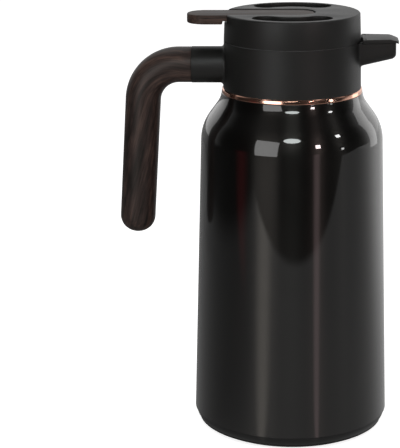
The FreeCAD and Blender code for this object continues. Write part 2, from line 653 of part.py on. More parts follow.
def mouth_gasket():
    """Silicone ring pressed between the flask's lip and the collar."""
    outside = "tail_radius - tail_wall - foot_fit"
    turned("mouth_gasket", [
        ("collar_mouth + foot_fit", LIP_TOP),
        (outside, LIP_TOP),
        (outside, GASKET_SEAT),
        ("collar_mouth + foot_fit", GASKET_SEAT),
    ])


def neck_nut():
    """Nut on the collar's tail that clamps the shell's flange, with spanner notches."""
    inside = "tail_radius + nut_fit"
    top = "neck_height - shell_wall"
    body = new_body("neck_nut")
    revolve(body, "neck_nut_turn", [
        (inside, top + " - nut_height"),
        ("nut_radius", top + " - nut_height"),
        ("nut_radius", top),
        (inside, top),
    ])
    sketch = new_sketch(body, "nut_notch_outline", "XY_Plane", top + " - nut_height + nut_notch_depth")
    draw_chain(sketch, [
        ("tail_radius - tail_wall", "-nut_notch_width / 2"),
        ("nut_radius + nut_notch_width", "-nut_notch_width / 2"),
        ("nut_radius + nut_notch_width", "nut_notch_width / 2"),
        ("tail_radius - tail_wall", "nut_notch_width / 2"),
    ])
    notch = pocket(body, sketch, "nut_notch", "2 * nut_notch_depth")
    ring_pattern(body, notch, "nut_notches", "nut_notch_count")


def trim_ring():
    """Rose-gold ring between shell and collar."""
    turned("trim_ring", [
        ("tail_radius + tail_fit", "neck_height"),
        ("neck_radius", "neck_height", "ring_round"),
        ("ring_top_radius", COLLAR_FOOT, "ring_round"),
        ("tail_radius + tail_fit", COLLAR_FOOT),
    ])


# Collar with spout and handle stub
def spout_section(body, name, place, width, depth, floor_wall, top, rounding):
    """Upright section of the spout: flat top, straight sides, rounded lower corners."""
    sketch = new_sketch(body, name, "YZ_Plane", place)
    half = "(%s) / 2" % width
    floor = "%s - %s + %s" % (SPOUT_RIM, depth, floor_wall)
    draw_chain(sketch, [
        ("-" + half, top),
        ("-" + half, floor, rounding),
        (half, floor, rounding),
        (half, top),
    ])
    return sketch


def collar():
    """Moulded collar: turned wall and tail, lofted spout, round handle stub, hinge ears."""
    body = new_body("collar")
    revolve(body, "collar_turn", [
        ("0", COLLAR_FOOT + " - tail_length"),
        ("tail_radius", COLLAR_FOOT + " - tail_length"),
        ("tail_radius", COLLAR_FOOT),
        ("collar_foot_radius", COLLAR_FOOT),
        ("collar_top_radius", COLLAR_TOP),
        ("0", COLLAR_TOP),
    ])
    add_spout(body)
    stub_face = new_sketch(body, "stub_outline", "YZ_Plane", "-" + STUB_REACH)
    draw_circle(stub_face, "0", HANDLE_AXIS, "stub_radius")
    stub = pad(body, stub_face, "stub", STUB_REACH + " - " + ROOT)
    blend = round_edges(body, stub, "stub_blend_round", meets_collar(-1), "stub_blend")
    round_edges(body, blend, "spout_blend_round", meets_collar(1), "spout_blend")
    add_bore(body)
    add_trough(body)
    add_ears(body)
    add_handle_socket(body)


def add_spout(body):
    """Spout lofted from the collar to its tip, with rounded tip corners."""
    root = spout_section(body, "spout_root_face", ROOT, "spout_root_width", "spout_root_depth", "0",
                         SPOUT_RIM, "spout_round")
    tip = spout_section(body, "spout_tip_face", SPOUT_REACH, "spout_tip_width", "spout_tip_depth", "0",
                        SPOUT_RIM, "spout_round")
    loft = body.newObject("PartDesign::AdditiveLoft", "spout")
    loft.Profile = root
    loft.Sections = [tip]
    loft.Ruled = True

    def tip_corner(edge):
        upright = edge.BoundBox.ZLength > number("spout_tip_depth - spout_round") / 2
        straight = edge.BoundBox.YLength < 1e-4
        return lies_at(edge, "x", SPOUT_REACH) and upright and straight

    round_edges(body, loft, "spout_corners", tip_corner, "spout_corner")


def meets_collar(side):
    """Test for the edges along which the stub (side -1) or the spout (side 1) leaves the collar's wall."""
    outer = number("collar_foot_radius")
    low = number(HANDLE_AXIS + " - stub_radius") if side < 0 else number(SPOUT_RIM + " - spout_root_depth")
    high = number(HANDLE_AXIS + " + stub_radius") if side < 0 else number(SPOUT_RIM)

    def chosen(edge):
        box = edge.BoundBox
        middle = edge.valueAt((edge.FirstParameter + edge.LastParameter) / 2)
        distance = math.hypot(middle.x, middle.y)
        on_wall = outer - 1 < distance < outer + 0.2 and middle.x * side > 0
        reach = max(number("stub_radius"), number("spout_root_width") / 2) + 1
        local = abs(middle.y) < reach and box.ZMin > low - 1 and box.ZMax < high + 1
        level = box.ZLength < 1e-4 and abs(middle.z - high) < 1e-3
        return on_wall and local and not level

    return chosen


def add_bore(body):
    """Bore for the stopper, sloping floor round the mouth and the inside of the tail."""
    inside = "tail_radius - tail_wall"
    revolve(body, "collar_bore", [
        ("0", COLLAR_FOOT + " - tail_length - collar_wall"),
        (inside, COLLAR_FOOT + " - tail_length - collar_wall"),
        (inside, GASKET_SEAT),
        ("collar_mouth", GASKET_SEAT),
        ("collar_mouth", GASKET_SEAT + " + collar_floor"),
        (BORE, GASKET_SEAT + " + collar_floor + collar_floor_rise"),
        (BORE, COLLAR_TOP + " + collar_wall"),
        ("0", COLLAR_TOP + " + collar_wall"),
    ], "PartDesign::Groove")


def add_trough(body):
    """Open trough of the spout and the pouring window behind it."""
    open_top = SPOUT_RIM + " + spout_rim_drop + collar_wall"
    start = "collar_top_radius"
    root = spout_section(body, "trough_root_face", start, "spout_root_width - 2 * spout_wall",
                         "spout_root_depth", "spout_wall", open_top, "spout_round - spout_wall")
    tip = spout_section(body, "trough_tip_face", SPOUT_REACH + " + spout_wall",
                        "spout_tip_width - 2 * spout_wall", "spout_tip_depth", "spout_wall", open_top,
                        "spout_round - spout_wall")
    loft = body.newObject("PartDesign::SubtractiveLoft", "trough")
    loft.Profile = root
    loft.Sections = [tip]
    loft.Ruled = True
    window_face = new_sketch(body, "window_outline", "YZ_Plane", start + " + spout_wall")
    half = "(spout_root_width - 2 * spout_wall) / 2"
    sill = SPOUT_RIM + " - spout_root_depth + spout_wall + window_rise"
    draw_chain(window_face, [
        ("-" + half, COLLAR_TOP + " - window_drop"),
        ("-" + half, sill, "spout_round - spout_wall"),
        (half, sill, "spout_round - spout_wall"),
        (half, COLLAR_TOP + " - window_drop"),
    ])
    pocket(body, window_face, "window", "collar_wall + 3 * spout_wall")


def add_ears(body):
    """Two ears out from the collar's rim, above the spout's trough, that hold the flap's pin."""
    start = "collar_top_radius - 0.75 * collar_wall"
    outline = [
        (start, below_rim("ear_drop")),
        (FLAP_HINGE, below_rim("ear_drop")),
        (FLAP_HINGE + " + ear_radius", FLAP_AXIS + " - ear_radius / 2"),
        (FLAP_HINGE + " + ear_radius", FLAP_AXIS + " + ear_radius", "0.9 * ear_radius"),
        (FLAP_HINGE + " - ear_radius", FLAP_AXIS + " + ear_radius", "0.9 * ear_radius"),
        (FLAP_HINGE + " - ear_radius", below_rim("ear_gap")),
        (start, below_rim("ear_gap")),
    ]
    outside = "(flap_root_width / 2 - flap_cheek - ear_gap)"
    for name, place in (("near_ear", outside), ("far_ear", "ear_width - " + outside)):
        sketch = new_sketch(body, name + "_outline", "XZ_Plane", place)
        draw_chain(sketch, outline)
        pad(body, sketch, name, "ear_width", backwards=True)
    pin_hole = new_sketch(body, "ear_hole_outline", "XZ_Plane")
    draw_circle(pin_hole, FLAP_HINGE, FLAP_AXIS, "flap_pin_radius")
    pocket(body, pin_hole, "ear_hole", "2 * flap_root_width", symmetric=True)


def add_handle_socket(body):
    """Bore in the stub for the handle's tube, and the hole for its screw."""
    socket_face = new_sketch(body, "socket_outline", "YZ_Plane", "-" + STUB_REACH)
    draw_circle(socket_face, "0", HANDLE_AXIS, "core_radius + core_fit")
    pocket(body, socket_face, "socket", STUB_REACH + " - " + CORE_START, backwards=True)
    for name, radius, top in (
        ("screw_hole", "screw_radius + screw_fit", HANDLE_AXIS),
        ("screw_sink", "screw_head_radius + screw_fit", HANDLE_AXIS + " - stub_radius + handle_screw_sink"),
    ):
        sketch = new_sketch(body, name + "_outline", "XY_Plane", top)
        draw_circle(sketch, "-" + SCREW_PLACE, "0", radius)
        pocket(body, sketch, name, "2 * stub_radius")


# Handle
def handle_line(body, name, start, foot, foot_height):
    """Centre line of the handle: out from the collar, round the bend and down."""
    sketch = new_sketch(body, name, "XZ_Plane")
    draw_chain(sketch, [
        (start, HANDLE_AXIS),
        ("-" + GRIP_BEND, HANDLE_AXIS, "grip_bend_round"),
        (foot, foot_height),
    ], closed=False)
    return sketch


def along_handle_line(foot_height):
    """Place across, on the straight part of the handle's line, at a height."""
    fall = "(%s - %s) / (%s - grip_foot_height)" % (HANDLE_AXIS, foot_height, HANDLE_AXIS)
    return "-" + GRIP_BEND + " - grip_slant * " + fall


def handle_pipe(body, name, kind, start, foot_height, radii):
    """Round tube or rod swept along the handle's line."""
    line = handle_line(body, name + "_line", start, along_handle_line(foot_height), foot_height)
    face = new_sketch(body, name + "_face", "YZ_Plane", start)
    for radius in radii:
        draw_circle(face, "0", HANDLE_AXIS, radius)
    pipe = body.newObject(kind, name)
    pipe.Profile = face
    pipe.Spine = line
    return pipe


def handle_core():
    """Bent metal tube that carries the grip, with a hole for its screw."""
    body = new_body("handle_core")
    radii = ("core_radius", "core_radius - core_wall")
    handle_pipe(body, "core_sweep", "PartDesign::AdditivePipe", "-" + CORE_START, "core_foot_height", radii)
    sketch = new_sketch(body, "core_hole_outline", "XY_Plane", HANDLE_AXIS)
    draw_circle(sketch, "-" + SCREW_PLACE, "0", "screw_radius + screw_fit")
    pocket(body, sketch, "core_hole", "2 * core_radius")


def handle_grip():
    """Wood-grain grip with a rounded end, bored for the tube."""
    body = new_body("handle_grip")
    sweep = handle_pipe(body, "grip_sweep", "PartDesign::AdditivePipe", "-" + STUB_REACH, "grip_foot_height",
                        ["grip_radius"])

    def lower_end(edge):
        return edge.BoundBox.ZMax < number("grip_foot_height + grip_radius") and edge.BoundBox.YLength > 1

    round_edges(body, sweep, "grip_end", lower_end, "grip_end_round")
    handle_pipe(body, "grip_bore", "PartDesign::SubtractivePipe", "-" + STUB_REACH,
                "core_foot_height - core_fit", ["core_radius + core_fit"])


def handle_screw():
    """Screw under the stub that holds the handle's tube."""
    head_foot = HANDLE_AXIS + " - stub_radius + handle_screw_sink - screw_head_height"
    length = "stub_radius - handle_screw_sink - core_radius + core_wall"
    pieces.append(upright_screw("handle_screw", "-" + SCREW_PLACE, "0", head_foot, length))


# Spout flap
def spout_flap():
    """Flap over the spout: rounded root on its pin, sloping tip and a turned-down lip."""
    body = new_body("spout_flap")
    top = FLAP_UNDER + " + flap_thickness"
    profile = new_sketch(body, "flap_profile", "XZ_Plane")
    draw_chain(profile, [
        (FLAP_HINGE, FLAP_UNDER),
        (FLAP_REACH, FLAP_UNDER),
        (FLAP_REACH, top + " - flap_tip_fall"),
        (FLAP_REACH + " - flap_tip_run", top, "flap_bend"),
        (FLAP_HINGE, top),
    ])
    pad(body, profile, "flap_plate", "2 * flap_root_width", symmetric=True)
    trimmed = trim_flap(body)

    def upper_edge(edge):
        box = edge.BoundBox
        middle = edge.valueAt((edge.FirstParameter + edge.LastParameter) / 2)
        high = middle.z > number(top + " - flap_tip_fall") - 1e-3 and box.ZMin > number(FLAP_UNDER) + 1e-3
        return high and (middle.x > number(FLAP_REACH) - 1e-3 or abs(middle.y) > 1)

    round_edges(body, trimmed, "flap_edge_round", upper_edge, "flap_edge")
    lip = new_sketch(body, "flap_lip_outline", "XY_Plane", FLAP_UNDER)
    draw_chain(lip, [
        (FLAP_REACH + " - flap_lip", "-flap_lip_width / 2"),
        (FLAP_REACH, "-flap_lip_width / 2"),
        (FLAP_REACH, "flap_lip_width / 2"),
        (FLAP_REACH + " - flap_lip", "flap_lip_width / 2"),
    ])
    pad(body, lip, "flap_lip", "flap_lip_drop", backwards=True)
    add_flap_hinge(body)


def trim_flap(body):
    """Cut the flap to its outline from above: sides that draw together and round tip corners."""
    plan = new_sketch(body, "flap_outline", "XY_Plane", FLAP_UNDER + " + 2 * flap_thickness")
    wide = "(flap_root_width / 2)"
    tip = "(flap_tip_width / 2)"
    draw_chain(plan, [
        (FLAP_HINGE + " - flap_corner", "-2 * flap_root_width"),
        (FLAP_REACH + " + flap_corner", "-2 * flap_root_width"),
        (FLAP_REACH + " + flap_corner", "2 * flap_root_width"),
        (FLAP_HINGE + " - flap_corner", "2 * flap_root_width"),
    ])
    draw_chain(plan, [
        (FLAP_HINGE, "-" + wide),
        (FLAP_REACH, "-" + tip, "flap_corner"),
        (FLAP_REACH, tip, "flap_corner"),
        (FLAP_HINGE, wide),
    ])
    return pocket(body, plan, "flap_trim", "4 * flap_thickness")


def add_flap_hinge(body):
    """Notches for the collar's ears, barrels between them along the flap's root and the pin's hole."""
    outside = "(flap_root_width / 2 - flap_cheek)"
    inside = "(flap_root_width / 2 - flap_cheek - ear_width - 2 * ear_gap)"
    for name, low, high in (("near_notch", "-" + outside, "-" + inside), ("far_notch", inside, outside)):
        notch = new_sketch(body, name + "_outline", "XY_Plane", FLAP_UNDER + " + 2 * flap_thickness")
        draw_chain(notch, [
            (FLAP_HINGE + " - flap_thickness", low),
            (FLAP_WIDE, low),
            (FLAP_WIDE, high),
            (FLAP_HINGE + " - flap_thickness", high),
        ])
        pocket(body, notch, name, "4 * flap_thickness")
    cheek = "(flap_cheek - 1.2 * flap_edge)"
    for name, place, length in (
        ("near_barrel", outside + " + " + cheek, cheek),
        ("middle_barrel", inside, "2 * " + inside),
        ("far_barrel", "-" + outside, cheek),
    ):
        barrel = new_sketch(body, name + "_outline", "XZ_Plane", place)
        draw_circle(barrel, FLAP_HINGE, FLAP_AXIS, "0.48 * flap_thickness")
        pad(body, barrel, name, length, backwards=True)
    hole = new_sketch(body, "flap_hole_outline", "XZ_Plane", "flap_root_width / 2 - pin_skin + pin_gap")
    draw_circle(hole, FLAP_HINGE, FLAP_AXIS, "flap_pin_radius + pin_gap")
    pocket(body, hole, "flap_hole", "2 * flap_root_width")


def flap_pin():
    """Pin that the spout flap turns on."""
    across_pin("flap_pin", "flap_pin_radius", "flap_root_width - 2 * pin_skin", FLAP_HINGE, FLAP_AXIS)


# Cap and lever
def cap_shell():
    """Cap with two finger scoops and the lever's slot cut through its top."""
    body = new_body("cap_shell")
    revolve(body, "cap_turn", [
        ("cap_foot_radius", CAP_FOOT),
        ("cap_top_radius", CAP_TOP, "cap_rim_round"),
        ("0", CAP_TOP),
        ("0", PLATE_UNDER),
        ("cap_top_radius - cap_wall", PLATE_UNDER),
        ("cap_foot_radius - cap_wall", CAP_FOOT),
    ])
    for name, side in (("front_scoop", -1), ("rear_scoop", 1)):
        sketch = new_sketch(body, name + "_outline", "XY_Plane", CAP_TOP)
        draw_scoop(sketch, side, "0")
        pocket(body, sketch, name, "2 * cap_plate")
    slot = new_sketch(body, "lever_slot_outline", "XY_Plane", CAP_TOP)
    half = "(lever_width / 2 + lever_gap)"
    draw_chain(slot, [
        ("-lever_reach", "-" + half),
        ("lever_tip + lever_gap", "-" + half, "lever_round + lever_gap"),
        ("lever_tip + lever_gap", half, "lever_round + lever_gap"),
        ("-lever_reach", half),
    ])
    pocket(body, slot, "lever_slot", "notch_depth")


def cap_tray():
    """Moulding under the cap: scoop floors and walls, lever trough, screw bosses."""
    body = new_body("cap_tray")
    disc = new_sketch(body, "tray_disc", "XY_Plane", TRAY_FOOT)
    draw_circle(disc, "0", "0", TRAY_RADIUS)
    pad(body, disc, "tray_plate", "tray_floor")
    rise = "scoop_depth - cap_plate"
    for name, side in (("front_scoop_wall", -1), ("rear_scoop_wall", 1)):
        sketch = new_sketch(body, name + "_outline", "XY_Plane", TRAY_TOP)
        draw_scoop(sketch, side, "tray_wall")
        draw_scoop(sketch, side, "0")
        pad(body, sketch, name, rise)
    trough = new_sketch(body, "lever_trough_outline", "XY_Plane", TRAY_TOP)
    inner = "(lever_width / 2 + lever_gap)"
    outer = "(lever_width / 2 + lever_gap + tray_wall)"
    end = "-(%s - 2 * tray_wall)" % TRAY_RADIUS
    draw_chain(trough, [
        (end, "-" + outer),
        ("lever_tip + lever_gap + tray_wall", "-" + outer, "lever_round + lever_gap + tray_wall"),
        ("lever_tip + lever_gap + tray_wall", outer, "lever_round + lever_gap + tray_wall"),
        (end, outer),
        (end, inner),
        ("lever_tip + lever_gap", inner, "lever_round + lever_gap"),
        ("lever_tip + lever_gap", "-" + inner, "lever_round + lever_gap"),
        (end, "-" + inner),
    ])
    pad(body, trough, "lever_trough", rise)
    bosses = new_sketch(body, "boss_outlines", "XY_Plane", TRAY_FOOT)
    for across, along in boss_places():
        draw_circle(bosses, across, along, "boss_radius")
    pad(body, bosses, "bosses", TRAY_FOOT + " - " + DECK_TOP, backwards=True)
    holes = new_sketch(body, "boss_hole_outlines", "XY_Plane", DECK_TOP)
    for across, along in boss_places():
        draw_circle(holes, across, along, "screw_radius + screw_fit")
    pocket(body, holes, "boss_holes", TRAY_FOOT + " - " + DECK_TOP, backwards=True)
    stem_hole = new_sketch(body, "stem_hole_outline", "XY_Plane", TRAY_TOP)
    draw_circle(stem_hole, "0", "0", "stem_radius + stem_hole_gap")
    pocket(body, stem_hole, "stem_hole", "2 * tray_floor")
    pin_hole = new_sketch(body, "lever_pin_hole_outline", "XZ_Plane")
    draw_circle(pin_hole, "-pivot_place", PIVOT_HEIGHT, "pivot_pin_radius")
    pocket(body, pin_hole, "lever_pin_hole", "2 * lever_width", symmetric=True)


def boss_places():
    """Centres of the four screw bosses."""
    across = "boss_circle * cos(boss_angle)"
    along = "boss_circle * sin(boss_angle)"
    return [(across, along), ("-" + across, along), ("-" + across, "-" + along), (across, "-" + along)]


def cap_gasket():
    """Flat silicone ring in the seam between cap and collar."""
    inside = "plug_radius + tray_fit"
    outside = "cap_foot_radius - cap_gasket_inset"
    turned("cap_gasket", [
        (inside, COLLAR_TOP),
        (outside, COLLAR_TOP),
        (outside, CAP_FOOT),
        (inside, CAP_FOOT),
    ])


def cap_screws():
    """Four screws that hold the plug's deck to the tray's bosses."""
    length = "deck_thickness + (%s - %s) / 2" % (TRAY_FOOT, DECK_TOP)
    head_foot = DECK_UNDER + " - screw_head_height"
    screws = doc.addObject("Part::Compound", "cap_screws")
    screws.Links = [
        upright_screw("cap_screw_%d" % index, across, along, head_foot, length)
        for index, (across, along) in enumerate(boss_places(), start=1)
    ]
    pieces.append(screws)


def lever_pin():
    """Pin that the thumb lever turns on."""
    across_pin("lever_pin", "pivot_pin_radius", "lever_width + 2 * lever_gap + 2 * tray_wall",
               "-pivot_place", PIVOT_HEIGHT)


def press_lever():
    """Thumb lever: flat strip with a thick outer pad, a barrel on the pin and two slotted lugs."""
    body = new_body("press_lever")
    half = "(lever_width / 2)"
    strip = new_sketch(body, "lever_outline", "XY_Plane", LEVER_UNDER)
    draw_chain(strip, [
        ("-lever_reach", "-" + half, "lever_round"),
        ("lever_tip", "-" + half, "lever_round"),
        ("lever_tip", half, "lever_round"),
        ("-lever_reach", half, "lever_round"),
    ])
    plate = pad(body, strip, "lever_strip", "lever_thickness")

    def upper_edge(edge):
        return lies_at(edge, "z", LEVER_TOP)

    round_edges(body, plate, "lever_edge_round", upper_edge, "lever_edge")
    thick = new_sketch(body, "lever_pad_outline", "XY_Plane", LEVER_UNDER)
    draw_chain(thick, [
        ("-lever_reach", "-" + half, "lever_round"),
        ("-lever_pad_start", "-" + half),
        ("-lever_pad_start", half),
        ("-lever_reach", half, "lever_round"),
    ])
    outer_pad = pad(body, thick, "lever_pad", "lever_pad_thickness - lever_thickness", backwards=True)

    def lower_edge(edge):
        return lies_at(edge, "z", PAD_UNDER) and edge.BoundBox.XMin < number("-lever_pad_start") - 1

    round_edges(body, outer_pad, "lever_pad_round", lower_edge, "lever_edge")
    barrel = new_sketch(body, "lever_barrel_outline", "XZ_Plane")
    draw_circle(barrel, "-pivot_place", PIVOT_HEIGHT, "pivot_barrel_radius")
    pad(body, barrel, "lever_barrel", "lever_width", symmetric=True)
    bore = new_sketch(body, "lever_bore_outline", "XZ_Plane")
    draw_circle(bore, "-pivot_place", PIVOT_HEIGHT, "pivot_pin_radius + pin_gap")
    pocket(body, bore, "lever_bore", "2 * lever_width", symmetric=True)
    add_lugs(body)


def add_lugs(body):
    """Two lugs under the lever with slots for the stem's pin."""
    foot = TRAY_TOP + " + lug_gap"
    for name, place in (("near_lug", "lug_start + lug_width"), ("far_lug", "-lug_start")):
        sketch = new_sketch(body, name + "_outline", "XZ_Plane", place)
        draw_chain(sketch, [
            ("-lug_length / 2", foot),
            ("lug_length / 2", foot),
            ("lug_length / 2", LEVER_UNDER + " + lever_thickness / 4"),
            ("-lug_length / 2", LEVER_UNDER + " + lever_thickness / 4"),
        ])
        pad(body, sketch, name, "lug_width", backwards=True)
    slot = new_sketch(body, "lug_slot_outline", "XZ_Plane")
    height = "(stem_pin_radius + 2 * pin_gap)"
    rounding = "0.9 * " + height
    draw_chain(slot, [
        ("-stem_pin_slot / 2", "%s - %s" % (STEM_PIN_HEIGHT, height), rounding),
        ("stem_pin_slot / 2", "%s - %s" % (STEM_PIN_HEIGHT, height), rounding),
        ("stem_pin_slot / 2", "%s + %s" % (STEM_PIN_HEIGHT, height), rounding),
        ("-stem_pin_slot / 2", "%s + %s" % (STEM_PIN_HEIGHT, height), rounding),
    ])
    pocket(body, slot, "lug_slot", "lever_width", symmetric=True)


# Plug and valve
def plug_body():
    """Stepped hollow plug, open at the top, with outlet slots under its upper section."""
    body = new_body("plug_body")
    ledge = "plug_radius - plug_wall - deck_ledge"
    waist = "plug_waist_radius - plug_wall"
    revolve(body, "plug_turn", [
        ("plug_radius - plug_wall", TRAY_FOOT),
        ("plug_radius - plug_wall", DECK_UNDER),
        (ledge, DECK_UNDER),
        (ledge, below_rim("flange_drop")),
        (waist, below_rim("flange_drop")),
        (waist, below_rim("waist_drop") + " + plug_wall"),
        ("spigot_radius - plug_wall", below_rim("waist_drop") + " + plug_wall"),
        ("spigot_radius - plug_wall", SEAT),
        ("spigot_radius", SEAT),
        ("spigot_radius", below_rim("plug_neck_drop")),
        ("plug_neck_radius", below_rim("plug_neck_drop")),
        ("plug_neck_radius", below_rim("waist_drop")),
        ("plug_waist_radius", below_rim("waist_drop")),
        ("plug_waist_radius", below_rim("flange_drop")),
        ("plug_flange_radius", below_rim("flange_drop")),
        ("plug_flange_radius", below_rim("slot_drop")),
        ("plug_radius", below_rim("slot_drop")),
        ("plug_radius", TRAY_FOOT),
    ])
    sketch = new_sketch(body, "outlet_outline", "XY_Plane", below_rim("slot_drop"))
    draw_chain(sketch, [
        ("spigot_radius", "-slot_width / 2"),
        ("plug_radius + plug_wall", "-slot_width / 2"),
        ("plug_radius + plug_wall", "slot_width / 2"),
        ("spigot_radius", "slot_width / 2"),
    ])
    outlet = pocket(body, sketch, "outlet", "slot_height")
    ring_pattern(body, outlet, "outlets", "slot_count")


def stem_guide():
    """Deck in the plug with a tube that guides the stem and holds its ring seal."""
    body = new_body("stem_guide")
    seal_well = "(stem_radius + seal_ring_gap + seal_ring_width)"
    revolve(body, "guide_turn", [
        ("stem_radius + stem_gap", DECK_UNDER + " - guide_length"),
        ("guide_radius", DECK_UNDER + " - guide_length"),
        ("guide_radius", DECK_UNDER),
        ("plug_radius - plug_wall - deck_fit", DECK_UNDER),
        ("plug_radius - plug_wall - deck_fit", DECK_TOP),
        ("guide_radius + deck_thickness / 4", DECK_TOP),
        ("guide_radius + deck_thickness / 4", DECK_TOP + " + guide_rise"),
        (seal_well, DECK_TOP + " + guide_rise"),
        (seal_well, DECK_TOP + " + guide_rise - seal_ring_height"),
        ("stem_radius + stem_gap", DECK_TOP + " + guide_rise - seal_ring_height"),
    ])
    holes = new_sketch(body, "deck_hole_outlines", "XY_Plane", DECK_TOP)
    for across, along in boss_places():
        draw_circle(holes, across, along, "screw_radius + screw_fit")
    pocket(body, holes, "deck_holes", "2 * deck_thickness")


def stem_seal():
    """Ring seal round the stem at the top of its guide."""
    inside = "stem_radius + seal_ring_gap"
    outside = "stem_radius + seal_ring_gap + seal_ring_width - seal_fit"
    foot = DECK_TOP + " + guide_rise - seal_ring_height"
    turned("stem_seal", [
        (inside, foot),
        (outside, foot),
        (outside, DECK_TOP + " + guide_rise"),
        (inside, DECK_TOP + " + guide_rise"),
    ])


def plug_seal():
    """Brown silicone sleeve with a wide upper lip and a narrower rounded lower lip."""
    inside = "spigot_radius + seal_fit"
    turned("plug_seal", [
        (inside, SEAT),
        ("seal_lower_radius", SEAT, "seal_round"),
        ("seal_lower_radius", below_rim("seal_step_drop")),
        ("seal_upper_radius", below_rim("seal_step_drop"), "seal_round / 2"),
        ("seal_upper_radius", below_rim("plug_neck_drop")),
        (inside, below_rim("plug_neck_drop")),
    ])


def plug_base():
    """Plate that holds the seal, with the valve's seat and a spigot inside the plug."""
    outside = "spigot_radius - plug_wall - base_fit"
    turned("plug_base", [
        ("valve_hole", below_rim("base_drop")),
        ("base_plate_radius", below_rim("base_drop"), "base_plate_round"),
        ("base_plate_radius", SEAT),
        (outside, SEAT),
        (outside, SEAT + " + base_spigot"),
        (outside + " - plug_wall", SEAT + " + base_spigot"),
        (outside + " - plug_wall", SEAT),
        ("valve_hole", SEAT),
    ])


def valve_disc():
    """Silicone disc on the stem that closes the hole in the plug's base."""
    turned("valve_disc", [
        ("stem_radius + disc_fit", SEAT),
        ("disc_radius", SEAT),
        ("disc_radius", DISC_TOP, "disc_thickness / 3"),
        ("stem_radius + disc_fit", DISC_TOP),
    ])


def valve_stem():
    """Stem from the valve disc up to the lever, with a foot, a spring seat and a hole for its pin."""
    body = new_body("valve_stem")
    revolve(body, "stem_turn", [
        ("0", SEAT + " - stem_foot"),
        ("stem_foot_radius", SEAT + " - stem_foot"),
        ("stem_foot_radius", SEAT),
        ("stem_radius", SEAT),
        ("stem_radius", DISC_TOP),
        ("stem_flange_radius", DISC_TOP),
        ("stem_flange_radius", DISC_TOP + " + stem_flange"),
        ("stem_radius", DISC_TOP + " + stem_flange"),
        ("stem_radius", STEM_PIN_HEIGHT + " + stem_top", "stem_top / 2"),
        ("0", STEM_PIN_HEIGHT + " + stem_top"),
    ])
    hole = new_sketch(body, "stem_pin_hole_outline", "XZ_Plane")
    draw_circle(hole, "0", STEM_PIN_HEIGHT, "stem_pin_radius")
    pocket(body, hole, "stem_pin_hole", "4 * stem_radius", symmetric=True)


def stem_pin():
    """Pin through the stem that the lever's lugs lift."""
    across_pin("stem_pin", "stem_pin_radius", "2 * (lug_start + lug_width)", "0", STEM_PIN_HEIGHT)


def helix_arcs(radius, low, high, turns):
    """Arcs of a quarter turn each along a helix, joined in tangent pairs."""
    quarters = int(4 * turns)
    step = math.pi / 2
    climb = (high - low) / quarters

    def point(quarter):
        angle = quarter * step
        return FreeCAD.Vector(radius * math.cos(angle), radius * math.sin(angle), low + quarter * climb)

    def heading(quarter):
        angle = quarter * step
        return FreeCAD.Vector(-radius * math.sin(angle), radius * math.cos(angle), climb / step).normalize()

    arcs = []
    for quarter in range(quarters):
        arcs.extend(biarc(point(quarter), heading(quarter), point(quarter + 1), heading(quarter + 1)))
    return arcs


def biarc(start, start_way, end, end_way):
    """Two tangent arcs from one point and direction to another."""
    chord = end - start
    total = start_way + end_way
    spread = 2 * (1 - start_way.dot(end_way))
    along = chord.dot(total)
    reach = (-along + math.sqrt(along ** 2 + spread * chord.dot(chord))) / spread
    meeting = (start + end + (start_way - end_way) * reach) * 0.5
    middles = []
    for near, way, far in ((start, start_way, meeting), (end, end_way * -1, meeting)):
        corner = near + way * reach
        bulge = (near + far) * 0.5
        height = (corner - bulge).Length
        half = (far - near).Length / 2
        sagitta = half * math.tan(math.atan2(height, half) / 2)
        middles.append(bulge + (corner - bulge).normalize() * sagitta)
    return [Part.Arc(start, middles[0], meeting).toShape(), Part.Arc(meeting, middles[1], end).toShape()]


def valve_spring():
    """Coil spring round the stem, between the stem's seat and the deck."""
    wire = number("spring_wire")
    radius = number("spring_radius")
    low = number(DISC_TOP + " + stem_flange + spring_wire + spring_gap")
    high = number(DECK_UNDER + " - spring_wire - spring_gap")
    line = Part.Wire(helix_arcs(radius, low, high, number("spring_turns")))
    first = line.Edges[0]
    circle = Part.Circle(first.valueAt(first.FirstParameter), first.tangentAt(first.FirstParameter), wire)
    spring = doc.addObject("Part::Feature", "valve_spring")
    spring.Shape = line.makePipeShell([Part.Wire([circle.toShape()])], True, False)
    pieces.append(spring)
    clear = (high - low) / number("spring_turns") - 2 * wire
    print("valve_spring: gap between turns %.2f mm" % clear)


def check_and_write():
    """Stop on any failed object, then write one file per piece."""
    doc.recompute()
    for item in doc.Objects:
        if "Invalid" in item.State or "Error" in item.State:
            raise RuntimeError("%s failed: %s" % (item.Label, item.State))
    for piece in pieces:
        shape = piece.Shape
        if shape.isNull() or not shape.isValid() or not shape.Solids:
            raise RuntimeError("%s has no valid solid" % piece.Label)
    os.makedirs("parts", exist_ok=True)
    for piece in pieces:
        piece.Shape.exportStep("parts/%s.step" % piece.Label)
        print("%s: %d solid(s), %.2f cm3" % (piece.Label, len(piece.Shape.Solids), piece.Shape.Volume / 1000))


outer_shell()
base_cover()
foot_pad()
liner_support()
flask_outer()
flask_inner()
mouth_gasket()
neck_nut()
trim_ring()
collar()
handle_core()
handle_grip()
handle_screw()
spout_flap()
flap_pin()
cap_shell()
cap_tray()
cap_gasket()
cap_screws()
lever_pin()
press_lever()
plug_body()
stem_guide()
stem_seal()
plug_seal()
plug_base()
valve_disc()
valve_stem()
stem_pin()
valve_spring()
check_and_write()
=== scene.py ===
"""Looks of a thermal carafe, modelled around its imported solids.

Metres throughout, in the frame of the solids: Z up from the table, +X towards the spout and -X towards the
handle.
"""
import json
import logging
import math
from contextlib import contextmanager
from dataclasses import dataclass
from enum import Enum
from typing import Callable, Iterator, Sequence

import bmesh
import bpy
import numpy as np
from mathutils import Matrix, Vector

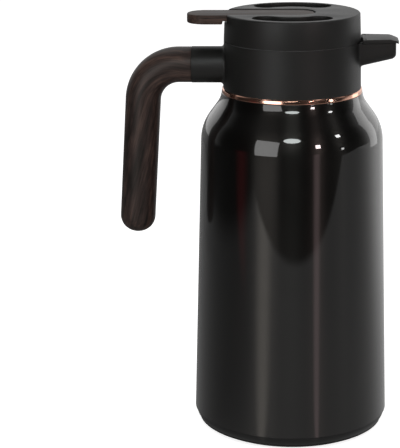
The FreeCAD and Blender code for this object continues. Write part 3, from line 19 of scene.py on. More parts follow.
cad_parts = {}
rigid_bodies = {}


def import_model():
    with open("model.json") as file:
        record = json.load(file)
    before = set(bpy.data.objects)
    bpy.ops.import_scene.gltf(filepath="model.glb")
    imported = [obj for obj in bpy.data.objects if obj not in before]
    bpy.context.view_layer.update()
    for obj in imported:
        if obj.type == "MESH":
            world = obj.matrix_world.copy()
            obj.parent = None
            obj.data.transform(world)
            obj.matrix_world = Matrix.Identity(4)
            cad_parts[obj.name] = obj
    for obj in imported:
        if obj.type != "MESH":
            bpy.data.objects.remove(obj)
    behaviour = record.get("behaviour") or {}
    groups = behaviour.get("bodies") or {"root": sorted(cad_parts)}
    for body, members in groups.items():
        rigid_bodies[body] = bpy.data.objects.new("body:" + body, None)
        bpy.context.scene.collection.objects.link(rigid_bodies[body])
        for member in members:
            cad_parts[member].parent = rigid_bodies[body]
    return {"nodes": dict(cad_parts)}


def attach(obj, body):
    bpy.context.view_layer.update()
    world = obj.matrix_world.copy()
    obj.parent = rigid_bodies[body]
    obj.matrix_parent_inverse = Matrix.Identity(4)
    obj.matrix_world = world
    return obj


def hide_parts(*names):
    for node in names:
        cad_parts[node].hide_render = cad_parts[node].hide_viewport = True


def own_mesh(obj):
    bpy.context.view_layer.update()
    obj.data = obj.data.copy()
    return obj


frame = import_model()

log = logging.getLogger("carafe")

MM = 0.001
ORIGIN = (0.0, 0.0, 0.0)
X_AXIS = (1.0, 0.0, 0.0)
Y_AXIS = (0.0, 1.0, 0.0)
Z_AXIS = (0.0, 0.0, 1.0)
FULL_TURN = 2 * math.pi
MERGE_DISTANCE = 1e-6
SMOOTH_ANGLE = math.radians(32)
EDGE_ANGLE = math.radians(50)
FLAT_ANGLE = math.radians(0.3)
TOUCH = 0.1 * MM
PAST = 1.0 * MM
SIDES = (-1.0, 1.0)
WHITE = (1.0, 1.0, 1.0)
UNSCALED = (1.0, 1.0, 1.0)
NOISE_SPAN = (0.3, 0.7)
GRAIN_ATTRIBUTE = "grain"

Colour = tuple[float, float, float]
Place = tuple[float, float, float]
Corner = tuple[float, ...]
Point = tuple[float, float]
Material = bpy.types.Material
Socket = bpy.types.NodeSocket
Thing = bpy.types.Object


class Pick(Enum):
    """Kind of mesh element that a selection takes."""

    VERTEX = "VERT"
    EDGE = "EDGE"
    FACE = "FACE"


class Change(Enum):
    """How a tool changes a piece."""

    ADD = "UNION"
    CUT = "DIFFERENCE"
    TRIM = "INTERSECT"


class LampShape(Enum):
    """Outline of a lamp."""

    RECTANGLE = "RECTANGLE"
    ELLIPSE = "ELLIPSE"


class Body(Enum):
    """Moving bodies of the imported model."""

    CARAFE = "carafe"
    FLAP = "flap"
    STOPPER = "stopper"
    LEVER = "lever"
    VALVE = "valve"


class Workbench:
    """Modelling steps that the pieces share."""

    @staticmethod
    def clear() -> None:
        """Deselect every object, so that the next operator acts on its own piece."""
        for thing in bpy.context.view_layer.objects:
            thing.select_set(False)

    @staticmethod
    def take(piece: Thing) -> None:
        """Make a piece the only selected and active object.

        Args:
            piece: Piece to take.
        """
        Workbench.clear()
        piece.select_set(True)
        bpy.context.view_layer.objects.active = piece

    @staticmethod
    def started(name: str) -> Thing:
        """Name the primitive that was just added and put its place into its mesh.

        Args:
            name: Name of the piece.

        Returns:
            The new piece, at the origin, unturned and unscaled.
        """
        piece = bpy.context.object
        piece.name = name
        piece.data.name = name
        bpy.ops.object.transform_apply(location=True, rotation=True, scale=True)
        return piece

    @staticmethod
    @contextmanager
    def editing(piece: Thing, pick: Pick = Pick.VERTEX) -> Iterator[None]:
        """Hold a piece in edit mode.

        Args:
            piece: Piece to edit.
            pick: Kind of element that selections take.

        Returns:
            A context that leaves edit mode at its end.
        """
        Workbench.take(piece)
        bpy.ops.object.mode_set(mode="EDIT")
        bpy.ops.mesh.select_mode(type=pick.value)
        try:
            yield
        finally:
            bpy.ops.object.mode_set(mode="OBJECT")

    @staticmethod
    def choose(piece: Thing, pick: Pick, test: Callable[[Vector, Vector], bool]) -> None:
        """Select the edges or faces of a piece in edit mode that a test accepts.

        Args:
            piece: Piece in edit mode.
            pick: Kind of element to test.
            test: Reads the lowest and the highest corner of an element's box.
        """
        bpy.ops.mesh.select_mode(type=pick.value)
        bpy.ops.mesh.select_all(action="DESELECT")
        mesh = bmesh.from_edit_mesh(piece.data)
        for element in mesh.faces if pick is Pick.FACE else mesh.edges:
            corners = [corner.co for corner in element.verts]
            low = Vector([min(corner[axis] for corner in corners) for axis in range(3)])
            high = Vector([max(corner[axis] for corner in corners) for axis in range(3)])
            if test(low, high):
                element.select_set(True)
        mesh.select_flush_mode()
        bmesh.update_edit_mesh(piece.data)

    @staticmethod
    def turned(name: str, outline: Sequence[Point], steps: int = 256) -> Thing:
        """Turn a closed outline about the carafe's axis.

        Args:
            name: Name of the piece.
            outline: Radius and height of each point of the outline.
            steps: Steps of the spin.

        Returns:
            The turned piece.
        """
        Workbench.clear()
        radius, height = outline[0]
        bpy.ops.mesh.primitive_plane_add(size=MM, location=(radius, 0.0, height))
        piece = Workbench.started(name)
        with Workbench.editing(piece):
            bpy.ops.mesh.select_all(action="SELECT")
            bpy.ops.mesh.merge(type="CENTER")
            for (radius, height), (next_radius, next_height) in zip(outline, [*outline[1:], outline[0]]):
                step = (next_radius - radius, 0.0, next_height - height)
                bpy.ops.mesh.extrude_vertices_move(TRANSFORM_OT_translate={"value": step})
            bpy.ops.mesh.select_all(action="SELECT")
            bpy.ops.mesh.spin(steps=steps, angle=FULL_TURN, center=ORIGIN, axis=Z_AXIS)
            bpy.ops.mesh.select_all(action="SELECT")
            bpy.ops.mesh.remove_doubles(threshold=MERGE_DISTANCE)
            bpy.ops.mesh.normals_make_consistent(inside=False)
        return piece

    @staticmethod
    def prism(name: str, outline: Sequence[Point], low: float, high: float, across: bool = False) -> Thing:
        """Extrude a closed outline into a solid.

        Args:
            name: Name of the piece.
            outline: Points in X and Y, or in X and Z for a prism across the carafe.
            low: Where the prism begins, along Z or along Y.
            high: Where it ends.
            across: Whether the prism runs along Y.

        Returns:
            The prism.
        """
        def seat(point: Point) -> Vector:
            """Point of the outline in space."""
            return Vector((point[0], low, point[1])) if across else Vector((point[0], point[1], low))

        Workbench.clear()
        bpy.ops.mesh.primitive_plane_add(size=MM, location=seat(outline[0]))
        piece = Workbench.started(name)
        rise = (0.0, high - low, 0.0) if across else (0.0, 0.0, high - low)
        with Workbench.editing(piece):
            bpy.ops.mesh.select_all(action="SELECT")
            bpy.ops.mesh.merge(type="CENTER")
            for here, following in zip(outline, [*outline[1:], outline[0]]):
                step = seat(following) - seat(here)
                bpy.ops.mesh.extrude_vertices_move(TRANSFORM_OT_translate={"value": tuple(step)})
            bpy.ops.mesh.select_all(action="SELECT")
            bpy.ops.mesh.remove_doubles(threshold=MERGE_DISTANCE)
            bpy.ops.mesh.edge_face_add()
            bpy.ops.mesh.extrude_region_move(TRANSFORM_OT_translate={"value": rise})
            bpy.ops.mesh.select_all(action="SELECT")
            bpy.ops.mesh.normals_make_consistent(inside=False)
        return piece

    @staticmethod
    def combine(piece: Thing, tool: Thing, change: Change) -> None:
        """Change a piece by a tool, which is then deleted.

        Args:
            piece: Piece to change.
            tool: Closed mesh to apply.
            change: Whether the tool is added, cut away or trims the piece.
        """
        modifier = piece.modifiers.new("combine", "BOOLEAN")
        modifier.operation = change.value
        modifier.solver = "EXACT"
        modifier.object = tool
        Workbench.take(piece)
        bpy.ops.object.modifier_apply(modifier=modifier.name)
        bpy.data.objects.remove(tool, do_unlink=True)

    @staticmethod
    def soften(piece: Thing, width: float, angle: float = EDGE_ANGLE, segments: int = 3) -> None:
        """Round all edges of a piece that are sharper than an angle.

        Args:
            piece: Piece to change.
            width: Width of the rounding.
            angle: Smallest angle that counts as an edge.
            segments: Faces across the rounding.
        """
        with Workbench.editing(piece):
            bpy.ops.mesh.select_all(action="SELECT")
            bpy.ops.mesh.remove_doubles(threshold=MERGE_DISTANCE)
            bpy.ops.mesh.dissolve_limited(angle_limit=FLAT_ANGLE)
            bpy.ops.mesh.vert_connect_concave()
        modifier = piece.modifiers.new("soften", "BEVEL")
        modifier.width = width
        modifier.segments = segments
        modifier.limit_method = "ANGLE"
        modifier.angle_limit = angle
        modifier.use_clamp_overlap = True
        Workbench.take(piece)
        bpy.ops.object.modifier_apply(modifier=modifier.name)

    @staticmethod
    def smooth(piece: Thing) -> None:
        """Shade a piece smooth up to the angle of its real edges."""
        Workbench.take(piece)
        bpy.ops.object.shade_smooth_by_angle(angle=SMOOTH_ANGLE)

    @staticmethod
    def joined(pieces: Sequence[Thing]) -> Thing:
        """Join pieces into the first one.

        Args:
            pieces: Pieces to join.

        Returns:
            The first piece.
        """
        Workbench.clear()
        for piece in pieces:
            piece.select_set(True)
        bpy.context.view_layer.objects.active = pieces[0]
        bpy.ops.object.join()
        return pieces[0]

    @staticmethod
    def dress(piece: Thing, finish: "Finish", slot: str, body: Body, *nodes: str) -> None:
        """Give a piece its finish and put it on the body that carries it.

        Args:
            piece: Finished mesh.
            finish: Finish of the whole piece.
            slot: Material slot of the record; not used.
            body: Body that the piece moves with.
            nodes: Solids that the piece stands for.
        """
        piece.data.materials.clear()
        piece.data.materials.append(finish.material())
        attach(piece, body.value)
        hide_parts(*nodes)
        log.info("%s: %d faces on %s", piece.name, len(piece.data.polygons), body.value)


def rounded(corners: Sequence[Corner], facets_per_turn: int = 96) -> list[Point]:
    """Points of a closed outline whose corners are rounded by tangent arcs.

    Args:
        corners: Corners in order: place across, place along and, where it has one, the rounding.
        facets_per_turn: Fineness of the arcs.

    Returns:
        Points of the outline.
    """
    points: list[Point] = []
    for index, corner in enumerate(corners):
        here = Vector(corner[:2])
        if len(corner) == 2:
            points.append((here.x, here.y))
            continue
        back = (Vector(corners[index - 1][:2]) - here).normalized()
        ahead = (Vector(corners[(index + 1) % len(corners)][:2]) - here).normalized()
        half = back.angle(ahead) / 2
        centre = here + (back + ahead).normalized() * (corner[2] / math.sin(half))
        entry = here + back * (corner[2] / math.tan(half)) - centre
        sweep = math.pi - 2 * half
        if back.cross(ahead) > 0:
            sweep = -sweep
        count = max(2, math.ceil(abs(sweep) / FULL_TURN * facets_per_turn))
        for step in range(count + 1):
            spoke = entry.copy()
            spoke.rotate(Matrix.Rotation(sweep * step / count, 2))
            points.append((centre.x + spoke.x, centre.y + spoke.y))
    return points


class Nodes:
    """Node tree of one material, with short calls to add and link nodes."""

    def __init__(self, name: str) -> None:
        """Start a material with a principled shader.

        Args:
            name: Name of the material.
        """
        self.material = bpy.data.materials.new(name)
        self.material.use_nodes = True
        self.tree = self.material.node_tree
        self.shader = self.tree.nodes["Principled BSDF"]

    def add(self, kind: str, **inputs: object) -> bpy.types.Node:
        """Add a node and set its inputs.

        Args:
            kind: Type of the node.
            inputs: Values of inputs, named with underscores for spaces.

        Returns:
            The new node.
        """
        node = self.tree.nodes.new(kind)
        for name, value in inputs.items():
            node.inputs[name.replace("_", " ")].default_value = value
        return node

    def link(self, source: Socket, target: Socket) -> None:
        """Link an output to an input."""
        self.tree.links.new(source, target)

    def place(self, scale: Place, attribute: str = "") -> Socket:
        """Coordinates of the surface, scaled.

        Args:
            scale: Repeats per metre along each axis.
            attribute: Attribute to read in place of object coordinates.

        Returns:
            The scaled vector.
        """
        if attribute:
            source = self.add("ShaderNodeAttribute")
            source.attribute_name = attribute
            vector = source.outputs["Vector"]
        else:
            vector = self.add("ShaderNodeTexCoord").outputs["Object"]
        mapping = self.add("ShaderNodeMapping", Scale=scale)
        self.link(vector, mapping.inputs["Vector"])
        return mapping.outputs["Vector"]

    def noise(self, vector: Socket, detail: float = 4.0, rough: float = 0.5, distort: float = 0.0) -> Socket:
        """Noise over a vector.

        Args:
            vector: Scaled coordinates.
            detail: Octaves of the noise.
            rough: Weight of the finer octaves.
            distort: How far the coordinates are bent.

        Returns:
            The noise as a value.
        """
        node = self.add("ShaderNodeTexNoise", Scale=1.0, Detail=detail, Roughness=rough, Distortion=distort)
        self.link(vector, node.inputs["Vector"])
        return node.outputs["Fac"]

    def ramp(self, value: Socket, stops: Sequence[tuple[float, Colour]]) -> Socket:
        """Colour ramp over a value.

        Args:
            value: Value that picks the colour.
            stops: Place and colour of each stop.

        Returns:
            The colour.
        """
        node = self.add("ShaderNodeValToRGB")
        elements = node.color_ramp.elements
        while len(elements) < len(stops):
            elements.new(0.5)
        for element, (place, colour) in zip(elements, stops):
            element.position = place
            element.color = (*colour, 1.0)
        self.link(value, node.inputs["Fac"])
        return node.outputs["Color"]

    def step(self, value: Socket, low: float, high: float) -> Socket:
        """Soft step over a value.

        Args:
            value: Value to read.
            low: Where the step is still nought.
            high: Where it has reached one.

        Returns:
            The step as a value.
        """
        node = self.add("ShaderNodeMapRange", From_Min=low, From_Max=high)
        node.interpolation_type = "SMOOTHSTEP"
        self.link(value, node.inputs["Value"])
        return node.outputs["Result"]

    def join(self, operation: str, *parts: Socket | float) -> Socket:
        """Work out a sum, product or angle.

        Args:
            operation: Name of the math node's operation.
            parts: Sockets and numbers that it takes.

        Returns:
            The result as a value.
        """
        node = self.add("ShaderNodeMath")
        node.operation = operation
        for socket, part in zip(node.inputs, parts):
            if isinstance(part, float):
                socket.default_value = part
            else:
                self.link(part, socket)
        return node.outputs["Value"]

    def blend(self, share: Socket, first: Socket, second: Socket) -> Socket:
        """Mix two shaders.

        Args:
            share: Share of the second one.
            first: Shader at nought.
            second: Shader at one.

        Returns:
            The mixed shader.
        """
        node = self.add("ShaderNodeMixShader")
        for source, target in zip((share, first, second), node.inputs):
            self.link(source, target)
        return node.outputs["Shader"]

    def both(self, first: Socket, second: Socket) -> Socket:
        """Add two shaders.

        Args:
            first: One shader.
            second: The other.

        Returns:
            Their sum.
        """
        node = self.add("ShaderNodeAddShader")
        for source, target in zip((first, second), node.inputs):
            self.link(source, target)
        return node.outputs["Shader"]

    def paint(self, colour: Socket) -> None:
        """Colour the shader."""
        self.link(colour, self.shader.inputs["Base Color"])

    def roughen(self, value: Socket, low: float, high: float) -> None:
        """Vary the shader's roughness with a noise, whose usual span is mapped to a range.

        Args:
            value: The noise.
            low: Roughness at the noise's low end.
            high: Roughness at its high end.
        """
        node = self.add("ShaderNodeMapRange", From_Min=NOISE_SPAN[0], From_Max=NOISE_SPAN[1],
                        To_Min=low, To_Max=high)
        self.link(value, node.inputs["Value"])
        self.link(node.outputs["Result"], self.shader.inputs["Roughness"])

    def bump(self, height: Socket, strength: float, distance: float) -> None:
        """Bump the shader's normal.

        Args:
            height: Height as a value.
            strength: Share of the bump that shows.
            distance: Depth at full height.
        """
        node = self.add("ShaderNodeBump", Strength=strength, Distance=distance)
        self.link(height, node.inputs["Height"])
        self.link(node.outputs["Normal"], self.shader.inputs["Normal"])

    def set(self, **inputs: object) -> None:
        """Set constant inputs of the shader, named with underscores for spaces."""
        for name, value in inputs.items():
            self.shader.inputs[name.replace("_", " ")].default_value = value


@dataclass(frozen=True)
class Finish:
    """Finish of a surface: a name, a colour and how rough it is."""

    name: str
    colour: Colour
    roughness: float

    def material(self) -> Material:
        """Material of this finish, made once."""
        known = bpy.data.materials.get(self.name)
        return known if known else self.build()

    def build(self) -> Material:
        """Make the material."""
        raise NotImplementedError

    def shade(self, share: float) -> Colour:
        """Colour times a share."""
        return tuple(share * part for part in self.colour)

    def rough_times(self, shares: Point) -> Point:
        """Roughness times two shares."""
        return self.roughness * shares[0], self.roughness * shares[1]

    def rough_plus(self, steps: Point) -> Point:
        """Roughness plus two steps."""
        return self.roughness + steps[0], self.roughness + steps[1]


@dataclass(frozen=True)
class GlossPaint(Finish):
    """Stoved gloss paint on brushed steel: brushed round the axis, under a clear coat with orange peel."""

    coat_roughness: float = 0.03
    sheen: float = 0.22
    tint: Colour = (1.0, 0.93, 0.86)
    brushing: float = 0.9
    brush_turn: float = 0.25
    wipe_per_metre: float = 14.0
    wipe_shares: Point = (0.8, 1.3)
    peel_per_metre: float = 260.0
    peel_strength: float = 0.012
    peel_depth: float = 0.2 * MM

    def build(self) -> Material:
        """Make the material.

        Returns:
            Paint whose brushing runs round the Z axis.
        """
        nodes = Nodes(self.name)
        nodes.set(Base_Color=(*self.colour, 1.0), Coat_Weight=1.0, Coat_Roughness=self.coat_roughness,
                  Specular_IOR_Level=self.sheen, Specular_Tint=(*self.tint, 1.0),
                  Anisotropic=self.brushing, Anisotropic_Rotation=self.brush_turn)
        tangent = nodes.add("ShaderNodeTangent")
        tangent.direction_type = "RADIAL"
        tangent.axis = "Z"
        nodes.link(tangent.outputs["Tangent"], nodes.shader.inputs["Tangent"])
        wipes = nodes.noise(nodes.place((self.wipe_per_metre,) * 3), detail=6.0, distort=0.6)
        nodes.roughen(wipes, *self.rough_times(self.wipe_shares))
        peel = nodes.noise(nodes.place((self.peel_per_metre,) * 3), detail=1.0)
        nodes.bump(peel, self.peel_strength, self.peel_depth)
        return nodes.material


@dataclass(frozen=True)
class GrainedPlastic(Finish):
    """Moulded plastic with a fine spark-eroded grain."""

    grain_per_metre: float = 1900.0
    grain_strength: float = 0.22
    grain_depth: float = 0.1 * MM
    grain_steps: Point = (-0.05, 0.06)
    cloud_per_metre: float = 30.0
    cloud_shares: Point = (0.86, 1.14)
    sheen: float = 0.3

    def build(self) -> Material:
        """Make the material.

        Returns:
            Plastic, a little cloudy in colour.
        """
        nodes = Nodes(self.name)
        nodes.set(Specular_IOR_Level=self.sheen)
        grain = nodes.noise(nodes.place((self.grain_per_metre,) * 3), detail=3.0, rough=0.6)
        clouds = nodes.noise(nodes.place((self.cloud_per_metre,) * 3), detail=5.0)
        dark, light = (self.shade(share) for share in self.cloud_shares)
        nodes.paint(nodes.ramp(clouds, [(0.3, dark), (0.7, light)]))
        nodes.roughen(grain, *self.rough_plus(self.grain_steps))
        nodes.bump(grain, self.grain_strength, self.grain_depth)
        return nodes.material


@dataclass(frozen=True)
class PlatedMetal(Finish):
    """Polished plating with very fine turning marks round the axis."""

    mark_per_metre: float = 5200.0
    mark_per_metre_round: float = 20.0
    mark_shares: Point = (0.75, 1.3)
    mark_strength: float = 0.03
    mark_depth: float = 0.05 * MM
    tint_per_metre: float = 60.0
    warm_shares: Colour = (1.0, 0.93, 0.88)

    def build(self) -> Material:
        """Make the material.

        Returns:
            Metal with patches of a warmer tint.
        """
        nodes = Nodes(self.name)
        nodes.set(Metallic=1.0)
        around = self.mark_per_metre_round
        marks = nodes.noise(nodes.place((around, around, self.mark_per_metre)), detail=2.0)
        tint = nodes.noise(nodes.place((self.tint_per_metre,) * 3), detail=3.0)
        warm = tuple(part * share for part, share in zip(self.colour, self.warm_shares))
        nodes.paint(nodes.ramp(tint, [(0.35, warm), (0.65, self.colour)]))
        nodes.roughen(marks, *self.rough_times(self.mark_shares))
        nodes.bump(marks, self.mark_strength, self.mark_depth)
        return nodes.material


@dataclass(frozen=True)
class WoodGrain(Finish):
    """Dark walnut grain along X, or along the grain attribute of a bent piece, under a satin lacquer."""

    dark: Colour = (0.006, 0.005, 0.0045)
    light: Colour = (0.058, 0.035, 0.028)
    attribute: str = ""
    coat: float = 0.06
    coat_roughness: float = 0.3
    gloss: float = 0.28
    gloss_tint: Colour = (1.0, 0.9, 0.84)
    bands_per_metre: float = 130.0
    band_length: float = 11.0
    band_share: float = 0.55
    streaks_per_metre: float = 520.0
    streak_length: float = 20.0
    streak_share: float = 0.45
    streak_steps: Point = (-0.06, 0.08)
    pores_per_metre: float = 1300.0
    pore_length: float = 22.0
    pore_shade: float = 0.35
    pore_weight: float = 0.7
    pore_strength: float = 0.12
    pore_depth: float = 0.1 * MM

    def build(self) -> Material:
        """Make the material.

        Returns:
            Wood with bands, finer streaks and open pores.
        """
        nodes = Nodes(self.name)
        bands = nodes.noise(self.fibres(nodes, self.bands_per_metre, self.band_length),
                            detail=5.0, rough=0.55, distort=1.1)
        streaks = nodes.noise(self.fibres(nodes, self.streaks_per_metre, self.streak_length),
                              detail=4.0, rough=0.6, distort=0.4)
        pores = nodes.noise(self.fibres(nodes, self.pores_per_metre, self.pore_length), detail=2.0)
        mixed = nodes.join("MULTIPLY_ADD", streaks, self.streak_share,
                           nodes.join("MULTIPLY", bands, self.band_share))
        tone = nodes.ramp(mixed, [(0.38, self.dark), (0.5, self.colour), (0.63, self.light)])
        open_pores = nodes.ramp(pores, [(0.36, (self.pore_shade,) * 3), (0.44, WHITE)])
        blend = nodes.add("ShaderNodeMix")
        blend.data_type = "RGBA"
        blend.blend_type = "MULTIPLY"
        blend.inputs["Factor"].default_value = self.pore_weight
        nodes.link(tone, blend.inputs["A"])
        nodes.link(open_pores, blend.inputs["B"])
        nodes.paint(blend.outputs["Result"])
        nodes.roughen(streaks, *self.rough_plus(self.streak_steps))
        nodes.set(Coat_Weight=self.coat, Coat_Roughness=self.coat_roughness, Specular_IOR_Level=self.gloss,
                  Specular_Tint=(*self.gloss_tint, 1.0))
        nodes.bump(open_pores, self.pore_strength, self.pore_depth)
        return nodes.material

    def fibres(self, nodes: Nodes, per_metre: float, length: float) -> Socket:
        """Coordinates drawn out along the grain.

        Args:
            nodes: Node tree to add to.
            per_metre: Repeats per metre across the grain.
            length: How many times longer a fibre is than wide.

        Returns:
            The coordinates.
        """
        return nodes.place((per_metre / length, per_metre, per_metre), self.attribute)


@dataclass(frozen=True)
class Silicone(Finish):
    """Soft silicone with a dusty sheen."""

    dust_per_metre: float = 180.0
    dust_share: float = 1.25
    dust_lift: float = 0.004
    dust_steps: Point = (-0.05, 0.08)
    sheen: float = 0.2
    sheen_roughness: float = 0.5
    skin_per_metre: float = 2200.0
    skin_strength: float = 0.08
    skin_depth: float = 0.05 * MM

    def build(self) -> Material:
        """Make the material.

        Returns:
            Silicone with a finely rough skin.
        """
        nodes = Nodes(self.name)
        dust = nodes.noise(nodes.place((self.dust_per_metre,) * 3), detail=6.0)
        pale = tuple(min(1.0, part * self.dust_share + self.dust_lift) for part in self.colour)
        nodes.paint(nodes.ramp(dust, [(0.35, self.colour), (0.7, pale)]))
        nodes.roughen(dust, *self.rough_plus(self.dust_steps))
        nodes.set(Sheen_Weight=self.sheen, Sheen_Roughness=self.sheen_roughness)
        skin = nodes.noise(nodes.place((self.skin_per_metre,) * 3), detail=2.0)
        nodes.bump(skin, self.skin_strength, self.skin_depth)
        return nodes.material


@dataclass(frozen=True)
class BareMetal(Finish):
    """Bare metal or silvered glass with faint marks."""

    mark_per_metre: float = 300.0
    mark_strength: float = 0.05
    mark_depth: float = 0.05 * MM
    mark_shares: Point = (0.8, 1.25)
    dull_share: float = 0.9

    def build(self) -> Material:
        """Make the material.

        Returns:
            Metal that is duller in its marks.
        """
        nodes = Nodes(self.name)
        nodes.set(Metallic=1.0)
        marks = nodes.noise(nodes.place((self.mark_per_metre,) * 3), detail=5.0, distort=0.5)
        nodes.paint(nodes.ramp(marks, [(0.3, self.shade(self.dull_share)), (0.7, self.colour)]))
        nodes.roughen(marks, *self.rough_times(self.mark_shares))
        nodes.bump(marks, self.mark_strength, self.mark_depth)
        return nodes.material


@dataclass(frozen=True)
class ClearPlastic(Finish):
    """Pale see-through moulding with faint flow lines."""

    clearness: float = 0.75
    refraction: float = 1.49
    flow_per_metre: Place = (90.0, 90.0, 320.0)
    flow_shares: Point = (0.8, 1.3)
    flow_strength: float = 0.05
    flow_depth: float = 0.1 * MM

    def build(self) -> Material:
        """Make the material.

        Returns:
            Clear plastic.
        """
        nodes = Nodes(self.name)
        nodes.set(Base_Color=(*self.colour, 1.0), Transmission_Weight=self.clearness, IOR=self.refraction)
        flow = nodes.noise(nodes.place(self.flow_per_metre), detail=4.0, distort=0.5)
        nodes.roughen(flow, *self.rough_times(self.flow_shares))
        nodes.bump(flow, self.flow_strength, self.flow_depth)
        return nodes.material


GLOSS_BLACK = GlossPaint("gloss_black_paint", (0.0005, 0.0005, 0.00045), 0.36)
BLACK_PLASTIC = GrainedPlastic("black_grained_plastic", (0.0072, 0.0072, 0.0066), 0.46)
BASE_PLASTIC = GrainedPlastic("black_base_plastic", (0.0055, 0.0055, 0.0052), 0.36, grain_strength=0.12)
INNER_PLASTIC = GrainedPlastic("dark_inner_plastic", (0.045, 0.045, 0.045), 0.42, grain_strength=0.1)
CLEAR_PLASTIC = ClearPlastic("clear_plug_plastic", (0.84, 0.83, 0.80), 0.16)
ROSE_GOLD = PlatedMetal("rose_gold_plating", (0.86, 0.50, 0.38), 0.13)
GRIP_WALNUT = WoodGrain("walnut_grip", (0.0225, 0.0140, 0.0122), 0.46, attribute=GRAIN_ATTRIBUTE)
LEVER_WALNUT = WoodGrain("walnut_lever", (0.030, 0.0190, 0.0155), 0.50, coat=0.0, gloss=0.22)
BROWN_SILICONE = Silicone("brown_silicone", (0.14, 0.07, 0.045), 0.55)
GREY_SILICONE = Silicone("grey_silicone", (0.05, 0.05, 0.05), 0.6)
SILVERED_GLASS = BareMetal("silvered_glass", (0.86, 0.87, 0.88), 0.06, mark_strength=0.0)
PLAIN_STEEL = BareMetal("plain_steel", (0.62, 0.61, 0.60), 0.28)


@dataclass
class Vessel:
    """Steel shell, base cover and trim ring: the turned outside of the carafe."""

    base_radius: float = 68.0 * MM
    split_height: float = 11.0 * MM
    shoulder: Corner = (62.3 * MM, 216.0 * MM, 31.0 * MM)
    neck_bend: Corner = (48.9 * MM, 234.2 * MM, 17.5 * MM)
    neck_radius: float = 48.2 * MM
    neck_height: float = 239.0 * MM
    neck_edge: float = 0.4 * MM
    neck_round_inside: float = 14.0 * MM
    flange_radius: float = 42.5 * MM
    wall: float = 0.8 * MM
    cover_step: float = 0.5 * MM
    cover_foot: Corner = (66.2 * MM, 0.8 * MM, 11.2 * MM)
    cover_lip: float = 0.4 * MM
    cover_wall: float = 2.2 * MM
    cover_fit: float = 0.15 * MM
    cover_top: float = 22.0 * MM
    cover_lean: float = 0.306 * MM
    pad_radius: float = 50.2 * MM
    pad_ceiling: float = 1.6 * MM
    ring_height: float = 3.1 * MM
    ring_top_radius: float = 47.2 * MM
    ring_edge: float = 0.5 * MM
    ring_chamfer: float = 0.7 * MM
    ring_rim: float = 0.2 * MM

    def build(self) -> None:
        """Model and dress the three pieces."""
        Workbench.dress(self.shell(), GLOSS_BLACK, "shell_paint", Body.CARAFE, "outer_shell")
        Workbench.dress(self.cover(), BASE_PLASTIC, "black_plastic", Body.CARAFE, "base_cover")
        Workbench.dress(self.ring(), ROSE_GOLD, "rose_gold", Body.CARAFE, "trim_ring")

    def shell(self) -> Thing:
        """Painted shell with its wall and neck flange.

        Returns:
            The shell.
        """
        inner_shoulder = (self.shoulder[0] - self.wall, *self.shoulder[1:])
        inner_bend = (self.neck_bend[0] - self.wall, self.neck_bend[1], self.neck_round_inside)
        piece = Workbench.turned("shell_paint_coat", rounded([
            (self.base_radius, self.split_height),
            self.shoulder,
            self.neck_bend,
            (self.neck_radius, self.neck_height, self.neck_edge),
            (self.flange_radius, self.neck_height),
            (self.flange_radius, self.neck_height - self.wall),
            (self.neck_radius - self.wall, self.neck_height - self.wall),
            inner_bend,
            inner_shoulder,
            (self.base_radius - self.wall, self.split_height),
        ], facets_per_turn=240))
        Workbench.smooth(piece)
        return piece

    def cover(self) -> Thing:
        """Base cover with its rounded edge.

        Returns:
            The cover.
        """
        ring = self.base_radius - self.wall - self.cover_fit
        floor = self.pad_ceiling + self.cover_wall
        piece = Workbench.turned("base_edge", rounded([
            (0.0, self.pad_ceiling),
            (self.pad_radius, self.pad_ceiling),
            (self.pad_radius, self.cover_foot[1], self.cover_lip),
            self.cover_foot,
            (self.base_radius - self.cover_step, self.split_height, self.cover_lip),
            (ring, self.split_height),
            (ring - self.cover_lean, self.cover_top),
            (ring - self.cover_lean - self.cover_wall, self.cover_top),
            (ring - self.cover_wall, floor),
            (0.0, floor),
        ], facets_per_turn=160))
        Workbench.smooth(piece)
        return piece

    def ring(self) -> Thing:
        """Rose-gold ring between shell and collar.

        Returns:
            The ring.
        """
        top = self.neck_height + self.ring_height
        piece = Workbench.turned("rose_gold_ring", rounded([
            (self.flange_radius, self.neck_height),
            (self.neck_radius, self.neck_height, self.ring_edge),
            (self.ring_top_radius + self.ring_chamfer, top - self.ring_chamfer, self.ring_edge),
            (self.ring_top_radius, top, self.ring_rim),
            (self.flange_radius, top),
        ]))
        Workbench.smooth(piece)
        return piece


